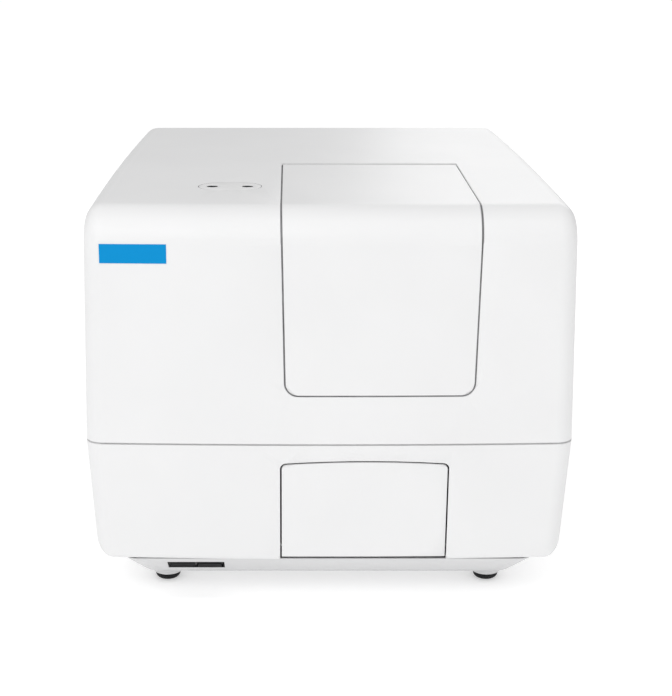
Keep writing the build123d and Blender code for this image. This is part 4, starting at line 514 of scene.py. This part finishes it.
# ---------------------------------------------------------------- trim
def badge_plate():
    """The plain blue plate on the upper left of the front, bent to the cover."""
    tree = surface_tree("upper_cover")
    columns, rows = BADGE_COLUMNS, BADGE_ROWS
    sections = ((-BADGE_SINK, 0.0), (BADGE_THICK - BADGE_BEVEL_HEIGHT, 0.0),
                (BADGE_THICK, BADGE_BEVEL_WIDTH))
    bm = bmesh.new()
    layers = []
    for lift, margin in sections:
        width = BADGE_RIGHT_X - BADGE_LEFT_X - 2 * margin
        height = BADGE_HIGH_Z - BADGE_LOW_Z - 2 * margin
        grid = []
        for i in range(columns + 1):
            line = []
            for k in range(rows + 1):
                x = BADGE_LEFT_X + margin + width * i / columns
                z = BADGE_LOW_Z + margin + height * k / rows
                hit = tree.ray_cast(Vector((x, RAY_START_Y, z)), Vector((0, 1, 0)))[0]
                line.append(bm.verts.new(hit + Vector((0, -lift, 0))))
            grid.append(line)
        layers.append(grid)
    for i in range(columns):
        for k in range(rows):
            for grid in (layers[0], layers[-1]):
                bm.faces.new([grid[i][k], grid[i + 1][k], grid[i + 1][k + 1], grid[i][k + 1]])
    for low, high in zip(layers, layers[1:]):
        for i in range(columns):
            for k in (0, rows):
                bm.faces.new([low[i][k], low[i + 1][k], high[i + 1][k], high[i][k]])
        for k in range(rows):
            for i in (0, columns):
                bm.faces.new([low[i][k], low[i][k + 1], high[i][k + 1], high[i][k]])
    add_piece("badge_plate", bm, BADGE_BLUE)


def panel_screws():
    """Screws round the rear panel."""
    low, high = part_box("rear_panel")
    columns = (low.x + PANEL_SCREW_EDGE, high.x - PANEL_SCREW_EDGE)
    rows = (low.z + PANEL_SCREW_EDGE, high.z - PANEL_SCREW_EDGE)
    places = [(x, z) for x in columns for z in rows] + [(PANEL_MIDDLE_SCREW_X, z) for z in rows]
    bm = bmesh.new()
    for x, z in places:
        screw_head(bm, (x, high.y, z), (0, 1, 0))
    add_piece("panel_screws", bm, MATERIALS["steel"])


def fan_guard():
    """The wire guard over the fan, and its four screws."""
    low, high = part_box("rear_panel")
    fan_low, fan_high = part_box("fan_frame")
    x_middle = (fan_low.x + fan_high.x) / 2
    centre = Vector((x_middle, high.y + GUARD_STANDOFF, (low.z + high.z) / 2))
    bm = bmesh.new()
    for ring in GUARD_RINGS:
        wire_ring(bm, centre, ring, GUARD_WIRE_R)
    bar_centre = centre + Vector((0, -GUARD_BARS_BEHIND, 0))
    reach = math.hypot(FAN_SCREW_REACH, FAN_SCREW_REACH)
    for i in range(GUARD_BARS):
        turn = math.pi / 4 + i * 2 * math.pi / GUARD_BARS
        out = Vector((math.cos(turn), 0, math.sin(turn)))
        wire_bar(bm, bar_centre + out * GUARD_RINGS[0], bar_centre + out * reach, GUARD_WIRE_R)
    add_piece("fan_guard", bm, MATERIALS["steel"])

    bm = bmesh.new()
    for x in (-FAN_SCREW_REACH, FAN_SCREW_REACH):
        for z in (-FAN_SCREW_REACH, FAN_SCREW_REACH):
            screw_head(bm, (centre.x + x, high.y, centre.z + z), (0, 1, 0), FAN_SCREW_R)
    add_piece("fan_screws", bm, MATERIALS["steel"])


def foot_cups():
    """White moulded cups round the upper half of the rubber feet."""
    low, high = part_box("rubber_feet")
    inner = FOOT_R + FOOT_CUP_GAP
    lip = inner + FOOT_CUP_LIP_WIDTH
    profile = [(inner, FOOT_CUP_LOW_Z), (inner + FOOT_CUP_LIP_OUT, FOOT_CUP_LOW_Z - FOOT_CUP_LIP_DROP)]
    for i in range(FOOT_CUP_STEPS + 1):
        turn = i / FOOT_CUP_STEPS * math.pi / 2
        profile.append((lip + (FOOT_CUP_R - lip) * math.sin(turn),
                        FOOT_CUP_LOW_Z + (FOOT_CUP_TOP_Z - FOOT_CUP_LOW_Z) * (1 - math.cos(turn))))
    profile.append((inner, FOOT_CUP_TOP_Z))
    bm = bmesh.new()
    for x in (low.x + FOOT_R, high.x - FOOT_R):
        for y in (low.y + FOOT_R, high.y - FOOT_R):
            ring_surface(bm, profile, Matrix.Translation((x, y, 0)))
    add_piece("foot_cups", bm, MATERIALS["base_plastic"])


def oval(half_length, half_width, out, count=24):
    """Points round a slot-shaped outline, moved outward by out."""
    straight = half_length - half_width
    points = []
    for side, start in ((1, -math.pi / 2), (-1, math.pi / 2)):
        for i in range(count + 1):
            turn = start + math.pi * i / count
            points.append((side * straight + (half_width + out) * math.cos(turn),
                           (half_width + out) * math.sin(turn)))
    return points


def port_gap_shade():
    """A near-black ring sunk in the gap round the port plate, painted shade for the gap's dark line.
    """
    low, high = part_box("injector_port_plate")
    centre = (low + high) / 2
    half_length = (high.x - low.x) / 2
    half_width = (high.y - low.y) / 2
    inner = PORT_RING_CLEAR
    outer = PORT_RING_CLEAR + PORT_RING_WIDTH
    top_z = high.z - PORT_RING_SINK
    bottom_z = top_z - PORT_RING_DEPTH
    bm = bmesh.new()
    loops = []
    for out, z in ((inner, bottom_z), (outer, bottom_z), (outer, top_z), (inner, top_z)):
        loops.append([bm.verts.new((centre.x + x, centre.y + y, z))
                      for x, y in oval(half_length, half_width, out)])
    for row, after in zip(loops, loops[1:] + loops[:1]):
        band(bm, row, after)
    add_piece("port_plate_gap_shade", bm, MATERIALS["control_plastic"])


def port_rims():
    """A pale countersunk rim in each port."""
    low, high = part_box("injector_ferrules")
    body_r = (high.y - low.y) / 2
    profile = [(radius, high.z + height) for radius, height in PORT_RIM_SECTION]
    bm = bmesh.new()
    for x in (low.x + body_r, high.x - body_r):
        ring_surface(bm, profile, Matrix.Translation((x, (low.y + high.y) / 2, 0)))
    add_piece("port_rims", bm, MATERIALS["cover_plastic"])


def outer_rim(mesh):
    """The edges of a door's outer skin along its sides and bottom, as pairs of vertex numbers,
    with the normals of the skin and of the wall beside it at each vertex."""
    tree = BVHTree.FromBMesh(mesh)
    skins, walls, edges = {}, {}, []
    for edge in mesh.edges:
        skin_normals, wall_normals = [], []
        for face in edge.link_faces:
            n = face.normal
            if abs(n.x) < SKIN_MAX_X and (n.y < -SKIN_MIN_FORWARD or n.z > SKIN_MIN_UP):
                skin_normals.append(n.copy())
            elif abs(n.y) < WALL_MAX_Y and n.z < SKIN_MIN_UP:
                wall_normals.append(n.copy())
        if len(skin_normals) != 1 or len(wall_normals) != 1:
            continue
        skin, wall = skin_normals[0], wall_normals[0]
        middle = (edge.verts[0].co + edge.verts[1].co) / 2
        if tree.ray_cast(middle + (skin + wall) * RIM_RAY_LIFT, skin)[0] is not None:
            continue
        edges.append([v.index for v in edge.verts])
        for v in edge.verts:
            skins.setdefault(v.index, []).append(skin)
            walls.setdefault(v.index, []).append(wall)
    return edges, skins, walls


def door_gap_shade():
    """A soft grey strip in the gap down both sides and along the bottom of the upper door, painted
    shade for the gap's line.
    """
    source = bmesh.new()
    source.from_mesh(frame["nodes"]["upper_door"].data)
    bmesh.ops.remove_doubles(source, verts=source.verts, dist=WELD_DISTANCE)
    edges, skins, walls = outer_rim(source)
    source.verts.ensure_lookup_table()
    bm = bmesh.new()
    pairs = {}
    for index in skins:
        skin = sum(skins[index], Vector()).normalized()
        wall = sum(walls[index], Vector()).normalized()
        base = source.verts[index].co - skin * GAP_SHADE_DEPTH
        pairs[index] = [bm.verts.new(base + wall * out) for out in (GAP_SHADE_CLEAR, DOOR_GAP - GAP_SHADE_CLEAR)]
    for a, b in edges:
        bm.faces.new([pairs[a][0], pairs[a][1], pairs[b][1], pairs[b][0]])
    source.free()
    bmesh.ops.recalc_face_normals(bm, faces=bm.faces)
    bmesh.ops.solidify(bm, geom=bm.faces[:], thickness=GAP_SHADE_THICK)
    add_piece("door_gap_shade", bm, DOOR_GAP_SHADE)


def inside_screws():
    """Screws on the door liners, the carrier, the filter cube, the inlet and the base."""
    forward, up, down = (0, -1, 0), (0, 0, 1), (0, 0, -1)
    start = SCREW_RAY_START

    low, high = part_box("upper_door_liner")
    edge = LINER_SCREW_EDGE
    columns = (low.x + edge, (low.x + high.x) / 2, high.x - edge)
    seated_screws("upper_liner_screws", "upper_door_liner", "upper_door",
                  [(x, y, high.z - LINER_SCREW_DROP) for x in columns for y in LINER_SCREW_YS],
                  up, LINER_SCREW_R)

    low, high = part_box("lower_door_liner")
    seated_screws("lower_liner_screws", "lower_door_liner", "lower_door",
                  [(x, high.y + start, high.z - edge) for x in (low.x + edge, high.x - edge)],
                  forward, LINER_SCREW_R)

    low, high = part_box("carrier_frame")
    columns = (low.x + CARRIER_SCREW_EDGE, high.x - CARRIER_SCREW_EDGE)
    seated_screws("carrier_screws", "carrier_frame", "carrier",
                  [(x, high.y - CARRIER_SCREW_REAR, high.z + start) for x in columns],
                  down, LINER_SCREW_R)

    low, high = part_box("filter_cube")
    columns = (low.x + CUBE_SCREW_EDGE, high.x - CUBE_SCREW_EDGE)
    rows = (low.y + CUBE_SCREW_EDGE, high.y - CUBE_SCREW_EDGE)
    seated_screws("cube_screws", "filter_cube", "filter_cube",
                  [(x, y, high.z + start) for x in columns for y in rows], down, CUBE_SCREW_R)

    low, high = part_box("power_inlet")
    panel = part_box("rear_panel")[1].y
    columns = (low.x - INLET_SCREW_OUT, high.x + INLET_SCREW_OUT)
    seated_screws("inlet_screws", "rear_panel", "instrument",
                  [(x, panel + start, (low.z + high.z) / 2) for x in columns],
                  forward, INLET_SCREW_R)

    columns = (-BASE_SCREW_X, BASE_SCREW_X)
    rows = (-BASE_SCREW_Y, BASE_SCREW_Y)
    seated_screws("base_screws", "base_pan", "instrument",
                  [(x, y, -start) for x in columns for y in rows], up, BASE_SCREW_R)


badge_plate()
panel_screws()
fan_guard()
foot_cups()
port_gap_shade()
port_rims()
door_gap_shade()
inside_screws()


# ---------------------------------------------------------------- stage
def plain_floor():
    """A wide pale floor."""
    bm = bmesh.new()
    half = FLOOR_SIZE / 2
    corners = ((-half, -half), (half, -half), (half, half), (-half, half))
    bm.faces.new([bm.verts.new((x, y, 0)) for x, y in corners])
    mesh = bpy.data.meshes.new("floor")
    bm.to_mesh(mesh)
    bm.free()
    material, nodes, links, bsdf = shader("floor_paint")
    cloud = noise(nodes, links, place_coords(nodes, links), 0.6, 2.0)
    tone = (FLOOR_WHITE, FLOOR_WHITE, FLOOR_WHITE)
    links.new(two_tone(nodes, links, cloud, shade(tone, 0.995), tone), bsdf.inputs["Base Color"])
    bsdf.inputs["Roughness"].default_value = 0.9
    bsdf.inputs["Specular IOR Level"].default_value = 0.1
    bsdf.inputs["Emission Color"].default_value = (1, 1, 1, 1)
    bsdf.inputs["Emission Strength"].default_value = FLOOR_GLOW
    mesh.materials.append(material)
    floor = bpy.data.objects.new("floor", mesh)
    bpy.context.scene.collection.objects.link(floor)


def soft_box(name, place, target, size, power):
    """A large rectangular area light aimed at a point, which the camera doesn't see itself."""
    data = bpy.data.lights.new(name, "AREA")
    data.shape = "RECTANGLE"
    data.size, data.size_y = size
    data.energy = power
    lamp = bpy.data.objects.new(name, data)
    lamp.location = place
    lamp.rotation_euler = (Vector(target) - Vector(place)).to_track_quat("-Z", "Y").to_euler()
    lamp.visible_camera = False
    bpy.context.scene.collection.objects.link(lamp)


def studio_sky():
    """Soft white surroundings, brightest above the front left, seen by the camera as plain white."""
    world = bpy.data.worlds.new("studio")
    world.use_nodes = True
    nodes, links = world.node_tree.nodes, world.node_tree.links
    coords = nodes.new("ShaderNodeTexCoord")
    facing = nodes.new("ShaderNodeVectorMath")
    facing.operation = "DOT_PRODUCT"
    facing.inputs[1].default_value = SKY_BRIGHT_SIDE
    ramp = nodes.new("ShaderNodeMapRange")
    ramp.inputs["From Min"].default_value = -1.0
    ramp.inputs["To Min"].default_value = SKY_DIM
    ramp.inputs["To Max"].default_value = SKY_BRIGHT
    sky = nodes["Background"]
    sky.inputs["Color"].default_value = (1, 1, 1, 1)
    plain = nodes.new("ShaderNodeBackground")
    plain.inputs["Color"].default_value = (1, 1, 1, 1)
    plain.inputs["Strength"].default_value = BACKDROP
    ray = nodes.new("ShaderNodeLightPath")
    chooser = nodes.new("ShaderNodeMixShader")
    links.new(coords.outputs["Generated"], facing.inputs[0])
    links.new(facing.outputs["Value"], ramp.inputs["Value"])
    links.new(ramp.outputs["Result"], sky.inputs["Strength"])
    links.new(ray.outputs["Is Camera Ray"], chooser.inputs["Fac"])
    links.new(sky.outputs["Background"], chooser.inputs[1])
    links.new(plain.outputs["Background"], chooser.inputs[2])
    links.new(chooser.outputs["Shader"], nodes["World Output"].inputs["Surface"])
    bpy.context.scene.world = world


def light_scene():
    """The surroundings and the soft boxes, shown without a film curve."""
    studio_sky()
    bpy.context.scene.view_settings.view_transform = "Standard"
    for name, place, target, size, power in SOFT_BOXES:
        soft_box(name, place, target, size, power)


def place_camera():
    """The camera at the photograph's viewing angle."""
    data = bpy.data.cameras.new("camera")
    data.sensor_width = 36.0
    data.lens = CAMERA_LENS
    data.shift_x = CAMERA_SHIFT
    data.clip_end = 100.0
    camera = bpy.data.objects.new("camera", data)
    camera.location = CAMERA_PLACE
    camera.rotation_euler = (math.pi / 2 - CAMERA_PITCH, 0, 0)
    bpy.context.scene.collection.objects.link(camera)
    bpy.context.scene.camera = camera


plain_floor()
light_scene()
place_camera()
